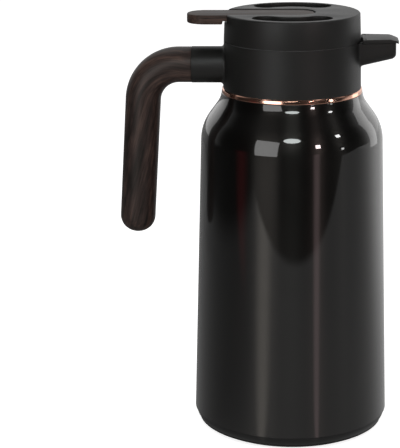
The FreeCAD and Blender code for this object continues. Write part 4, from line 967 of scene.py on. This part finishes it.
@dataclass
class Grip:
    """Wood-grain grip, swept along the handle's bend."""

    start: float = -68.4 * MM
    height: float = 257.5 * MM
    radius: float = 12.2 * MM
    bend_corner: float = -100.8 * MM
    bend_radius: float = 25.0 * MM
    foot: Point = (-108.0 * MM, 139.2 * MM)
    end_round: float = 11.4 * MM
    edge: float = 0.35 * MM
    grain_lean: float = 0.2
    sides: int = 96
    bend_steps: int = 40
    end_steps: int = 16

    def build(self) -> None:
        """Model the grip and dress it."""
        piece = self.sweep()
        self.write_grain(piece)
        Workbench.dress(piece, GRIP_WALNUT, "grip_wood", Body.CARAFE, "handle_grip")

    def lower_way(self) -> Vector:
        """Direction of the straight lower run."""
        return Vector((self.foot[0] - self.bend_corner, 0.0, self.foot[1] - self.height)).normalized()

    def bend_angle(self) -> float:
        """Angle that the handle's line turns through."""
        return Vector((-1.0, 0.0, 0.0)).angle(self.lower_way())

    def bend_start(self) -> float:
        """Place along X where the bend begins."""
        return self.bend_corner + self.bend_radius * math.tan(self.bend_angle() / 2)

    def sweep(self) -> Thing:
        """Circle extruded out, spun round the bend, extruded down and closed by a dome.

        Returns:
            The grip.
        """
        Workbench.clear()
        bpy.ops.mesh.primitive_circle_add(vertices=self.sides, radius=self.radius - self.edge,
                                          location=(self.start, 0.0, self.height),
                                          rotation=(0.0, math.pi / 2, 0.0))
        piece = Workbench.started("walnut_grip")
        bend_start = self.bend_start()
        centre = (bend_start, 0.0, self.height - self.bend_radius)
        way = self.lower_way()
        bend_end = Vector((self.bend_corner, 0.0, self.height)) + way * (bend_start - self.bend_corner)
        dome_start = Vector((self.foot[0], 0.0, self.foot[1])) - way * self.end_round
        with Workbench.editing(piece, Pick.EDGE):
            bpy.ops.mesh.select_all(action="SELECT")
            bpy.ops.mesh.edge_face_add()
            bpy.ops.mesh.select_mode(type=Pick.EDGE.value)
            self.lengthen(Vector((-self.edge, 0.0, 0.0)))
            self.widen(self.radius / (self.radius - self.edge), (self.start - self.edge, 0.0, self.height))
            self.lengthen(Vector((bend_start - self.start + self.edge, 0.0, 0.0)))
            bpy.ops.mesh.spin(steps=self.bend_steps, angle=self.bend_angle(), center=centre, axis=Y_AXIS)
            self.lengthen(dome_start - bend_end)
            self.dome(dome_start, way)
            bpy.ops.mesh.select_all(action="SELECT")
            bpy.ops.mesh.remove_doubles(threshold=MERGE_DISTANCE)
            bpy.ops.mesh.normals_make_consistent(inside=False)
        Workbench.smooth(piece)
        return piece

    def lengthen(self, step: Vector) -> None:
        """Extrude the selected ring by a step."""
        bpy.ops.mesh.extrude_region_move(TRANSFORM_OT_translate={"value": tuple(step)})

    def widen(self, share: float, centre: Place) -> None:
        """Scale the selected ring about its centre."""
        bpy.ops.transform.resize(value=(share, share, share), center_override=centre)

    def dome(self, start: Vector, way: Vector) -> None:
        """Close the lower end with a rounded dome.

        Args:
            start: Centre of the ring where the dome begins.
            way: Direction in which the dome points.
        """
        flat = self.radius - self.end_round
        reached = 0.0
        width = self.radius
        for step in range(1, self.end_steps + 1):
            angle = math.pi / 2 * step / self.end_steps
            advance = self.end_round * math.sin(angle)
            ring = flat + self.end_round * math.cos(angle)
            self.lengthen(way * (advance - reached))
            self.widen(ring / width, tuple(start + way * advance))
            reached = advance
            width = ring
        bpy.ops.mesh.edge_face_add()

    def write_grain(self, piece: Thing) -> None:
        """Store where each point lies along and across the handle's line, for the grain to follow.

        Args:
            piece: The swept grip.
        """
        points = np.array([vertex.co for vertex in piece.data.vertices])
        centre = np.array((self.bend_start(), self.height - self.bend_radius))
        offset = points[:, (0, 2)] - centre
        turned = np.arctan2(-offset[:, 0], offset[:, 1])
        inside = np.clip(turned, 0.0, self.bend_angle())
        outward = np.stack((-np.sin(inside), np.cos(inside)), axis=1)
        forward = np.stack((-np.cos(inside), -np.sin(inside)), axis=1)
        along = (offset * forward).sum(axis=1) + self.bend_radius * inside
        across = (offset * outward).sum(axis=1) - self.bend_radius
        leaning = across - self.grain_lean * along
        grain = np.stack((along, points[:, 1], leaning), axis=1).astype(np.float32)
        attribute = piece.data.attributes.new(GRAIN_ATTRIBUTE, "FLOAT_VECTOR", "POINT")
        attribute.data.foreach_set("vector", grain.ravel())


@dataclass
class Cap:
    """Cap of the stopper with two finger scoops and the lever's slot."""

    foot_radius: float = 46.6 * MM
    foot: float = 274.9 * MM
    top_radius: float = 45.9 * MM
    top: float = 293.5 * MM
    rim_round: float = 1.2 * MM
    plate: float = 2.4 * MM
    wall: float = 2.2 * MM
    scoop_radius: float = 41.8 * MM
    land_radius: float = 23.6 * MM
    scoop_angle: float = math.radians(33)
    slot_end: float = 15.8 * MM
    slot_half: float = 13.6 * MM
    slot_round: float = 13.1 * MM
    slot_depth: float = 7.2 * MM
    slot_run: float = 69.9 * MM
    start_hole: float = 4.0 * MM
    edge: float = 0.35 * MM
    sides: int = 256
    scoop_outer_steps: int = 48
    scoop_inner_steps: int = 32
    scoop_end_steps: int = 24

    def build(self) -> None:
        """Model the cap and dress it."""
        piece = Workbench.turned("cap_top", rounded([
            (self.foot_radius, self.foot),
            (self.top_radius, self.top, self.rim_round),
            (self.start_hole, self.top),
            (self.start_hole, self.top - self.plate),
            (self.top_radius - self.wall, self.top - self.plate),
            (self.foot_radius - self.wall, self.foot),
        ], facets_per_turn=48), self.sides)
        for side in SIDES:
            Workbench.combine(piece, self.scoop_cutter(side), Change.CUT)
        Workbench.combine(piece, self.slot_cutter(), Change.CUT)
        Workbench.soften(piece, self.edge)
        Workbench.smooth(piece)
        Workbench.dress(piece, BLACK_PLASTIC, "black_plastic", Body.STOPPER, "cap_shell")

    def scoop_cutter(self, side: float) -> Thing:
        """Kidney-shaped cutter: a slot bent about the axis, with round ends.

        Args:
            side: Which side it is on, as the sign of Y.

        Returns:
            The cutter.
        """
        middle = side * math.pi / 2
        first, last = middle - self.scoop_angle, middle + self.scoop_angle
        centre_radius = (self.scoop_radius + self.land_radius) / 2
        end_radius = (self.scoop_radius - self.land_radius) / 2
        outline: list[Point] = []
        for centre, radius, begin, end, count in (
            (0.0, self.scoop_radius, first, last, self.scoop_outer_steps),
            (last, end_radius, last, last + math.pi, self.scoop_end_steps),
            (0.0, self.land_radius, last, first, self.scoop_inner_steps),
            (first, end_radius, first + math.pi, first + FULL_TURN, self.scoop_end_steps),
        ):
            away = centre_radius if radius == end_radius else 0.0
            for step in range(count):
                angle = begin + (end - begin) * step / count
                outline.append((away * math.cos(centre) + radius * math.cos(angle),
                                away * math.sin(centre) + radius * math.sin(angle)))
        return Workbench.prism("scoop_cutter", outline, self.top - 2 * self.plate, self.top + self.plate)

    def slot_cutter(self) -> Thing:
        """Cutter for the lever's slot, with rounded corners at its inner end.

        Returns:
            The cutter.
        """
        Workbench.clear()
        length = self.slot_end + self.slot_run
        bpy.ops.mesh.primitive_cube_add(size=1.0, location=(self.slot_end - length / 2, 0.0, self.top),
                                        scale=(length, 2 * self.slot_half, 2 * self.slot_depth))
        cutter = Workbench.started("slot_cutter")
        with Workbench.editing(cutter, Pick.EDGE):
            Workbench.choose(cutter, Pick.EDGE,
                             lambda low, high: low.x > self.slot_end - PAST and high.y - low.y < TOUCH)
            bpy.ops.mesh.bevel(offset=self.slot_round, segments=24, affect="EDGES")
        return cutter


@dataclass
class ThumbLever:
    """Wood-grain thumb lever with a thick outer pad, a barrel on its pin and two lugs."""

    tip: float = 15.2 * MM
    reach: float = -71.5 * MM
    half_width: float = 13.0 * MM
    end_round: float = 12.5 * MM
    top: float = 293.0 * MM
    under: float = 289.0 * MM
    pad_under: float = 286.8 * MM
    pad_start: float = -47.2 * MM
    edge: float = 0.8 * MM
    pivot: Point = (-35.0 * MM, 289.0 * MM)
    barrel: float = 2.6 * MM
    barrel_edge: float = 0.8 * MM / 3
    lug_inner: float = 3.5 * MM
    lug_width: float = 3.0 * MM
    lug_length: float = 6.4 * MM
    lug_foot: float = 285.6 * MM
    lug_root: float = 1.0 * MM
    lug_edge: float = 0.4 * MM

    def build(self) -> None:
        """Model the lever and dress it."""
        piece = Workbench.joined([self.strip(), self.barrel_round(), self.lug(1.0), self.lug(-1.0)])
        piece.name = "walnut_lever"
        Workbench.smooth(piece)
        Workbench.dress(piece, LEVER_WALNUT, "lever_wood", Body.LEVER, "press_lever")

    def strip(self) -> Thing:
        """Strip with rounded ends, whose outer part is extruded down into the pad.

        Returns:
            The strip.
        """
        Workbench.clear()
        middle = ((self.tip + self.reach) / 2, 0.0, (self.top + self.under) / 2)
        size = (self.tip - self.reach, 2 * self.half_width, self.top - self.under)
        bpy.ops.mesh.primitive_cube_add(size=1.0, location=middle, scale=size)
        piece = Workbench.started("lever_strip")
        with Workbench.editing(piece, Pick.EDGE):
            Workbench.choose(piece, Pick.EDGE, lambda low, high: high.z - low.z > TOUCH)
            bpy.ops.mesh.bevel(offset=self.end_round, segments=20, affect="EDGES")
            bpy.ops.mesh.select_all(action="SELECT")
            bpy.ops.mesh.bisect(plane_co=(self.pad_start, 0.0, 0.0), plane_no=X_AXIS)
            Workbench.choose(
                piece, Pick.FACE,
                lambda low, high: high.z < self.under + TOUCH and high.x < self.pad_start + TOUCH)
            bpy.ops.mesh.extrude_region_move(
                TRANSFORM_OT_translate={"value": (0.0, 0.0, self.pad_under - self.under)})
        Workbench.soften(piece, self.edge, segments=5)
        return piece

    def barrel_round(self) -> Thing:
        """Barrel that turns on the lever's pin.

        Returns:
            The barrel.
        """
        Workbench.clear()
        bpy.ops.mesh.primitive_cylinder_add(vertices=48, radius=self.barrel, depth=2 * self.half_width,
                                            location=(self.pivot[0], 0.0, self.pivot[1]),
                                            rotation=(math.pi / 2, 0.0, 0.0))
        piece = Workbench.started("lever_barrel")
        Workbench.soften(piece, self.barrel_edge)
        return piece

    def lug(self, side: float) -> Thing:
        """Lug that lifts the valve's pin.

        Args:
            side: Which side it is on, as the sign of Y.

        Returns:
            The lug.
        """
        Workbench.clear()
        middle = (0.0, side * (self.lug_inner + self.lug_width / 2),
                  (self.under + self.lug_foot) / 2 + self.lug_root / 2)
        size = (self.lug_length, self.lug_width, self.under - self.lug_foot + self.lug_root)
        bpy.ops.mesh.primitive_cube_add(size=1.0, location=middle, scale=size)
        piece = Workbench.started("lever_lug")
        Workbench.soften(piece, self.lug_edge)
        return piece


@dataclass
class SpoutFlap:
    """Flap over the spout with a round root, notches for the hinge ears, a sloping tip and a lip."""

    hinge: float = 48.3 * MM
    root: float = 47.052 * MM
    reach: float = 71.9 * MM
    root_half: float = 13.4 * MM
    tip_half: float = 10.7 * MM
    under: float = 273.8 * MM
    thickness: float = 2.6 * MM
    root_round: float = 1.24 * MM
    corner: float = 5.0 * MM
    slope_run: float = 5.6 * MM
    slope_fall: float = 1.8 * MM
    bend: float = 8.0 * MM
    notch_end: float = 49.9 * MM
    notch: Point = (7.8 * MM, 10.9 * MM)
    lip: float = 1.0 * MM
    lip_drop: float = 1.2 * MM
    lip_half: float = 5.5 * MM
    lip_root: float = 0.52 * MM
    edge: float = 0.5 * MM
    edge_angle: float = math.radians(40)

    def build(self) -> None:
        """Model the flap and dress it."""
        piece = self.plate()
        for side in SIDES:
            near, far = sorted(side * place for place in self.notch)
            notch = self.block("notch_cutter", (self.root - PAST, near, self.under - PAST),
                               (self.notch_end, far, self.under + self.thickness + PAST))
            Workbench.combine(piece, notch, Change.CUT)
        lip = self.block("flap_lip", (self.reach - self.lip, -self.lip_half, self.under - self.lip_drop),
                         (self.reach, self.lip_half, self.under + self.lip_root))
        Workbench.combine(piece, lip, Change.ADD)
        Workbench.soften(piece, self.edge, angle=self.edge_angle, segments=4)
        Workbench.smooth(piece)
        Workbench.dress(piece, BLACK_PLASTIC, "black_plastic", Body.FLAP, "spout_flap")

    def block(self, name: str, low: Place, high: Place) -> Thing:
        """Block between two corners.

        Args:
            name: Name of the block.
            low: Its lowest corner.
            high: Its highest corner.

        Returns:
            The block.
        """
        Workbench.clear()
        middle = [(a + b) / 2 for a, b in zip(low, high)]
        bpy.ops.mesh.primitive_cube_add(size=1.0, location=middle, scale=[b - a for a, b in zip(low, high)])
        return Workbench.started(name)

    def plate(self) -> Thing:
        """Side profile extruded across, then cut to the outline seen from above.

        Returns:
            The plate.
        """
        top = self.under + self.thickness
        piece = Workbench.prism("flap_plate", rounded([
            (self.root, self.under, self.root_round),
            (self.reach, self.under),
            (self.reach, top - self.slope_fall),
            (self.reach - self.slope_run, top, self.bend),
            (self.root, top, self.root_round),
        ], facets_per_turn=160), -2 * self.root_half, 2 * self.root_half, across=True)
        plan = Workbench.prism("flap_plan", rounded([
            (self.root - PAST, -self.root_half),
            (self.hinge, -self.root_half),
            (self.reach, -self.tip_half, self.corner),
            (self.reach, self.tip_half, self.corner),
            (self.hinge, self.root_half),
            (self.root - PAST, self.root_half),
        ], facets_per_turn=120), self.under - PAST, top + PAST)
        Workbench.combine(piece, plan, Change.TRIM)
        return piece


@dataclass
class FairedSolid:
    """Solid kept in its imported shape: its facets are merged and shaded smooth, and it gets a finish."""

    node: str
    finish: Finish
    slot: str
    body: Body

    def build(self) -> None:
        """Copy the solid's mesh, merge it, shade it and dress it."""
        mesh = frame["nodes"][self.node].data.copy()
        piece = bpy.data.objects.new(self.node + "_form", mesh)
        bpy.context.scene.collection.objects.link(piece)
        with Workbench.editing(piece):
            bpy.ops.mesh.select_all(action="SELECT")
            bpy.ops.mesh.customdata_custom_splitnormals_clear()
            bpy.ops.mesh.remove_doubles(threshold=MERGE_DISTANCE)
        Workbench.smooth(piece)
        modifier = piece.modifiers.new("fair", "WEIGHTED_NORMAL")
        modifier.keep_sharp = True
        Workbench.take(piece)
        bpy.ops.object.modifier_apply(modifier=modifier.name)
        Workbench.dress(piece, self.finish, self.slot, self.body, self.node)


FAIRED_SOLIDS = (
    FairedSolid("collar", BLACK_PLASTIC, "black_plastic", Body.CARAFE),
    FairedSolid("foot_pad", GREY_SILICONE, "grey_silicone", Body.CARAFE),
    FairedSolid("flask_inner", SILVERED_GLASS, "flask_glass", Body.CARAFE),
    FairedSolid("mouth_gasket", GREY_SILICONE, "grey_silicone", Body.CARAFE),
    FairedSolid("handle_screw", PLAIN_STEEL, "steel", Body.CARAFE),
    FairedSolid("flap_pin", PLAIN_STEEL, "steel", Body.CARAFE),
    FairedSolid("cap_tray", BLACK_PLASTIC, "black_plastic", Body.STOPPER),
    FairedSolid("cap_gasket", GREY_SILICONE, "grey_silicone", Body.STOPPER),
    FairedSolid("plug_body", CLEAR_PLASTIC, "plug_plastic", Body.STOPPER),
    FairedSolid("plug_seal", BROWN_SILICONE, "brown_silicone", Body.STOPPER),
    FairedSolid("plug_base", CLEAR_PLASTIC, "plug_plastic", Body.STOPPER),
    FairedSolid("lever_pin", PLAIN_STEEL, "steel", Body.STOPPER),
    FairedSolid("valve_stem", INNER_PLASTIC, "inner_plastic", Body.VALVE),
    FairedSolid("valve_disc", BROWN_SILICONE, "brown_silicone", Body.VALVE),
    FairedSolid("stem_pin", PLAIN_STEEL, "steel", Body.VALVE),
)

HIDDEN_FINISHES = {
    "liner_support": GREY_SILICONE,
    "flask_outer": SILVERED_GLASS,
    "neck_nut": INNER_PLASTIC,
    "handle_core": PLAIN_STEEL,
    "cap_screws": PLAIN_STEEL,
    "stem_guide": CLEAR_PLASTIC,
    "stem_seal": GREY_SILICONE,
    "valve_spring": PLAIN_STEEL,
}


def dress_hidden_solids() -> None:
    """Give the solids that stay as they are their finishes."""
    for node, finish in HIDDEN_FINISHES.items():
        solid = frame["nodes"][node]
        solid.data.materials.clear()
        solid.data.materials.append(finish.material())


def squeeze_spring() -> None:
    """Give the valve's spring a mesh of its own.
    """
    spring = frame["nodes"]["valve_spring"]
    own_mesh(spring)


@dataclass(frozen=True)
class Lamp:
    """Softbox: where it hangs, its width and height, its watts, colour and shape."""

    name: str
    place: Place
    size: Point
    power: float
    colour: Colour = WHITE
    shape: LampShape = LampShape.RECTANGLE

    def hang(self, target: Place) -> None:
        """Hang the lamp, hidden from the camera.

        Args:
            target: Point that it faces.
        """
        light = bpy.data.lights.new(self.name, "AREA")
        light.shape = self.shape.value
        light.size, light.size_y = self.size
        light.energy = self.power
        light.color = self.colour
        thing = bpy.data.objects.new(self.name, light)
        bpy.context.scene.collection.objects.link(thing)
        thing.visible_camera = False
        thing.location = self.place
        thing.rotation_euler = (Vector(target) - Vector(self.place)).to_track_quat("-Z", "Y").to_euler()


LAMPS = (
    Lamp("overhead", (0.0, 0.35, 1.5), (1.4, 1.0), 5.0),
    Lamp("window_box", (-0.57, -0.94, 0.42), (0.58, 0.70), 4.3),
    Lamp("front_box", (0.01, -1.02, 0.85), (0.42, 0.24), 3.2, (0.94, 1.0, 0.99), LampShape.ELLIPSE),
    Lamp("right_spot", (0.63, -0.97, 0.53), (0.12, 0.16), 2.4, (1.0, 0.84, 0.84)),
    Lamp("high_spot", (0.95, -0.42, 0.82), (0.12, 0.12), 1.0),
    Lamp("right_box", (0.95, 0.62, 0.4), (0.4, 0.8), 1.3),
    Lamp("low_spot", (1.09, -0.51, 0.28), (0.08, 0.08), 0.24),
)


@dataclass(frozen=True)
class PaintedStreak:
    """Painted reflection: a band of glow on the floor, seen only by glossy rays, that stands in for a lamp's
    highlight on the shell; a band of directions, full in its core and gone at its edge.
    """

    colour: Colour
    middle: float
    core: float
    edge: float

    def light(self, nodes: Nodes, across: Socket, along: Socket, where: Socket | float,
              radius: float) -> Socket:
        """Painted glow of the streak on the floor, which glossy surfaces show as a highlight.

        Args:
            nodes: The floor's node tree.
            across: Place on the floor along X.
            along: Place on the floor along Y.
            where: Share of the streak that is left at that place.
            radius: Radius of the paint that mirrors it.

        Returns:
            The shader.
        """
        mirror_x = radius * math.sin(self.middle / 2)
        mirror_y = -radius * math.cos(self.middle / 2)
        direction = nodes.join("ARCTAN2", nodes.join("SUBTRACT", across, mirror_x),
                               nodes.join("SUBTRACT", mirror_y, along))
        away = nodes.join("ABSOLUTE", nodes.join("SUBTRACT", direction, self.middle))
        # Painted highlight: the streak is emission on the floor, not light from a lamp.
        inside = nodes.join("SUBTRACT", 1.0, nodes.step(away, self.core, self.edge))
        glow = nodes.add("ShaderNodeEmission", Color=(*self.colour, 1.0))
        nodes.link(nodes.join("MULTIPLY", inside, where), glow.inputs["Strength"])
        return glow.outputs["Emission"]


@dataclass
class Studio:
    """White floor, soft lamps and the camera at the photograph's angle.

    The table and the back are painted reflections, glows of the floor that only glossy rays see. Pairs of the
    table and the back are the places, in metres, where a soft step begins and ends.
    """

    floor_size: float = 12.0
    floor_shade: float = 0.8
    floor_roughness: float = 0.9
    floor_glow: float = 0.80
    ambient: float = 0.30
    room_glow: float = 0.02
    back_light: float = 0.97
    back_rise: Point = (0.1, 0.85)
    # back_glow and the table's fields set painted reflections: glows of the floor that only glossy rays see.
    back_glow: float = 0.32
    back_along: Point = (-0.1, 0.5)
    back_across: Point = (-0.2, 0.5)
    table_glow: float = 0.41
    table_front: Point = (-0.66, -0.60)
    table_left: Point = (-0.80, -0.56)
    table_turn: float = 0.1
    table_fade: Point = (-1.3, -0.3)
    table_left_level: float = 0.39
    table_right_level: float = 0.87
    far_corner: Point = (0.45, 0.9)
    far_corner_level: float = 0.25
    mirror_radius: float = 0.066
    # Painted highlights: streaks of glow on the floor that only glossy rays see.
    painted_pale_streak: PaintedStreak = PaintedStreak((0.70, 0.65, 0.58), -0.585, 0.02, 0.25)
    painted_pink_streak: PaintedStreak = PaintedStreak((0.72, 0.51, 0.53), 0.545, 0.015, 0.11)
    painted_red_streak: PaintedStreak = PaintedStreak((0.21, 0.014, 0.02), -1.13, 0.0, 0.22)
    red_end: Point = (-0.36, -0.24)
    lamp_target: Place = (0.0, 0.0, 0.2)
    distance: float = 1.1618
    height: float = 0.4729
    pitch: float = math.radians(15.79)
    yaw: float = math.radians(3.15)
    roll: float = math.radians(-0.52)
    focal_pixels: float = 1721.63
    frame_height: int = 448
    sensor: float = 36.0
    clip_start: float = 0.01

    def build(self) -> None:
        """Set up floor, world, lamps and camera."""
        bpy.context.scene.view_settings.view_transform = "Standard"
        self.floor()
        self.world()
        for lamp in LAMPS:
            lamp.hang(self.lamp_target)
        self.camera()

    def floor(self) -> None:
        """White floor that keeps a soft shadow; to glossy rays it glows with a painted reflection of a table.
        """
        Workbench.clear()
        bpy.ops.mesh.primitive_plane_add(size=self.floor_size, location=ORIGIN)
        floor = Workbench.started("studio_floor")
        nodes = Nodes("studio_floor")
        nodes.set(Base_Color=(*(self.floor_shade,) * 3, 1.0), Roughness=self.floor_roughness,
                  Specular_IOR_Level=0.0)
        path = nodes.add("ShaderNodeLightPath")
        plain = nodes.shader.outputs["BSDF"]
        lit = nodes.both(plain, nodes.add("ShaderNodeEmission", Strength=self.floor_glow).outputs["Emission"])
        seen = nodes.blend(path.outputs["Is Camera Ray"], plain, lit)
        mirrored = nodes.blend(path.outputs["Is Glossy Ray"], seen, self.reflected(nodes))
        nodes.link(mirrored, nodes.tree.nodes["Material Output"].inputs["Surface"])
        floor.data.materials.append(nodes.material)

    def reflected(self, nodes: Nodes) -> Socket:
        """Painted reflection: the floor as glossy surfaces see it, a glowing pale table, dark beyond its
        front and left edges, and painted lamp streaks.

        Args:
            nodes: The floor's node tree.

        Returns:
            The shader for glossy rays.
        """
        parts = nodes.add("ShaderNodeSeparateXYZ")
        nodes.link(nodes.place(UNSCALED), parts.inputs["Vector"])
        across, along = parts.outputs["X"], parts.outputs["Y"]
        turned = nodes.join("MULTIPLY_ADD", across, -self.table_turn, along)
        before_edge = nodes.step(turned, *self.table_front)
        table = nodes.join("MULTIPLY", before_edge, self.table_level(nodes, across, along))
        behind = nodes.join("MULTIPLY", nodes.step(along, *self.back_along),
                            nodes.step(across, *self.back_across))
        # Painted reflection: the pale table and the back glow on the floor for glossy rays only.
        lit = nodes.join("MULTIPLY_ADD", behind, self.back_glow,
                         nodes.join("MULTIPLY", table, self.table_glow))
        glow = nodes.add("ShaderNodeEmission")
        nodes.link(nodes.join("ADD", lit, self.room_glow), glow.inputs["Strength"])
        in_front = nodes.join("SUBTRACT", 1.0, nodes.step(along, *self.red_end))
        shader = glow.outputs["Emission"]
        # Painted highlights: the three streaks glow on the floor for glossy rays.
        for streak, where in (
            (self.painted_pale_streak, before_edge),
            (self.painted_pink_streak, 1.0),
            (self.painted_red_streak, in_front),
        ):
            shader = nodes.both(shader, streak.light(nodes, across, along, where, self.mirror_radius))
        return shader

    def table_level(self, nodes: Nodes, across: Socket, along: Socket) -> Socket:
        """Brightness of the painted table reflection, which fades towards the left and ends at its left edge.

        Args:
            nodes: The floor's node tree.
            across: Place on the floor along X.
            along: Place on the floor along Y.

        Returns:
            The level as a value.
        """
        direction = nodes.join("ARCTAN2", across, nodes.join("MULTIPLY", along, -1.0))
        level = nodes.join("MULTIPLY_ADD", nodes.step(direction, *self.table_fade),
                           self.table_right_level - self.table_left_level, self.table_left_level)
        return nodes.join("MAXIMUM", nodes.join("MULTIPLY", nodes.step(across, *self.table_left), level),
                          nodes.join("MULTIPLY", nodes.step(along, *self.far_corner), self.far_corner_level))

    def world(self) -> None:
        """Even pale light from all round, white to the camera, and to glossy rays white only from behind."""
        world = bpy.data.worlds.new("studio")
        bpy.context.scene.world = world
        world.use_nodes = True
        tree = world.node_tree
        background = tree.nodes["Background"]
        background.inputs["Color"].default_value = (*WHITE, 1.0)
        path = tree.nodes.new("ShaderNodeLightPath")
        direction = tree.nodes.new("ShaderNodeSeparateXYZ")
        tree.links.new(tree.nodes.new("ShaderNodeTexCoord").outputs["Generated"], direction.inputs["Vector"])
        behind = tree.nodes.new("ShaderNodeMapRange")
        behind.interpolation_type = "SMOOTHSTEP"
        for name, value in zip(("From Min", "From Max", "To Min", "To Max"),
                               (*self.back_rise, self.room_glow, self.back_light)):
            behind.inputs[name].default_value = value
        tree.links.new(direction.outputs["Y"], behind.inputs["Value"])
        even = self.ambient
        for ray, other in (("Is Glossy Ray", behind.outputs["Result"]), ("Is Camera Ray", 1.0)):
            choice = tree.nodes.new("ShaderNodeMix")
            tree.links.new(path.outputs[ray], choice.inputs["Factor"])
            for socket, value in ((choice.inputs["A"], even), (choice.inputs["B"], other)):
                if isinstance(value, float):
                    socket.default_value = value
                else:
                    tree.links.new(value, socket)
            even = choice.outputs["Result"]
        tree.links.new(even, background.inputs["Strength"])

    def camera(self) -> None:
        """Camera fitted to the photograph's outline."""
        data = bpy.data.cameras.new("photo_camera")
        data.sensor_width = self.sensor
        data.lens = self.focal_pixels / self.frame_height * self.sensor
        data.clip_start = self.clip_start
        camera = bpy.data.objects.new("photo_camera", data)
        bpy.context.scene.collection.objects.link(camera)
        forward = Vector((-math.sin(self.yaw), math.cos(self.yaw), 0.0))
        right = Vector((math.cos(self.yaw), math.sin(self.yaw), 0.0))
        up = Vector(Z_AXIS)
        ahead = forward * math.cos(self.pitch) - up * math.sin(self.pitch)
        over = up * math.cos(self.pitch) + forward * math.sin(self.pitch)
        side = right * math.cos(self.roll) + over * math.sin(self.roll)
        top = over * math.cos(self.roll) - right * math.sin(self.roll)
        camera.matrix_world = Matrix.Translation((0.0, -self.distance, self.height)) @ Matrix(
            (side, top, -ahead)).transposed().to_4x4()
        bpy.context.scene.camera = camera


def main() -> None:
    """Build the carafe's looks and the studio round it."""
    logging.basicConfig(level=logging.INFO, format="%(name)s: %(message)s")
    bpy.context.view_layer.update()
    Studio().build()
    Vessel().build()
    Grip().build()
    Cap().build()
    ThumbLever().build()
    SpoutFlap().build()
    for solid in FAIRED_SOLIDS:
        solid.build()
    dress_hidden_solids()
    squeeze_spring()


if __name__ == "__main__":
    main()
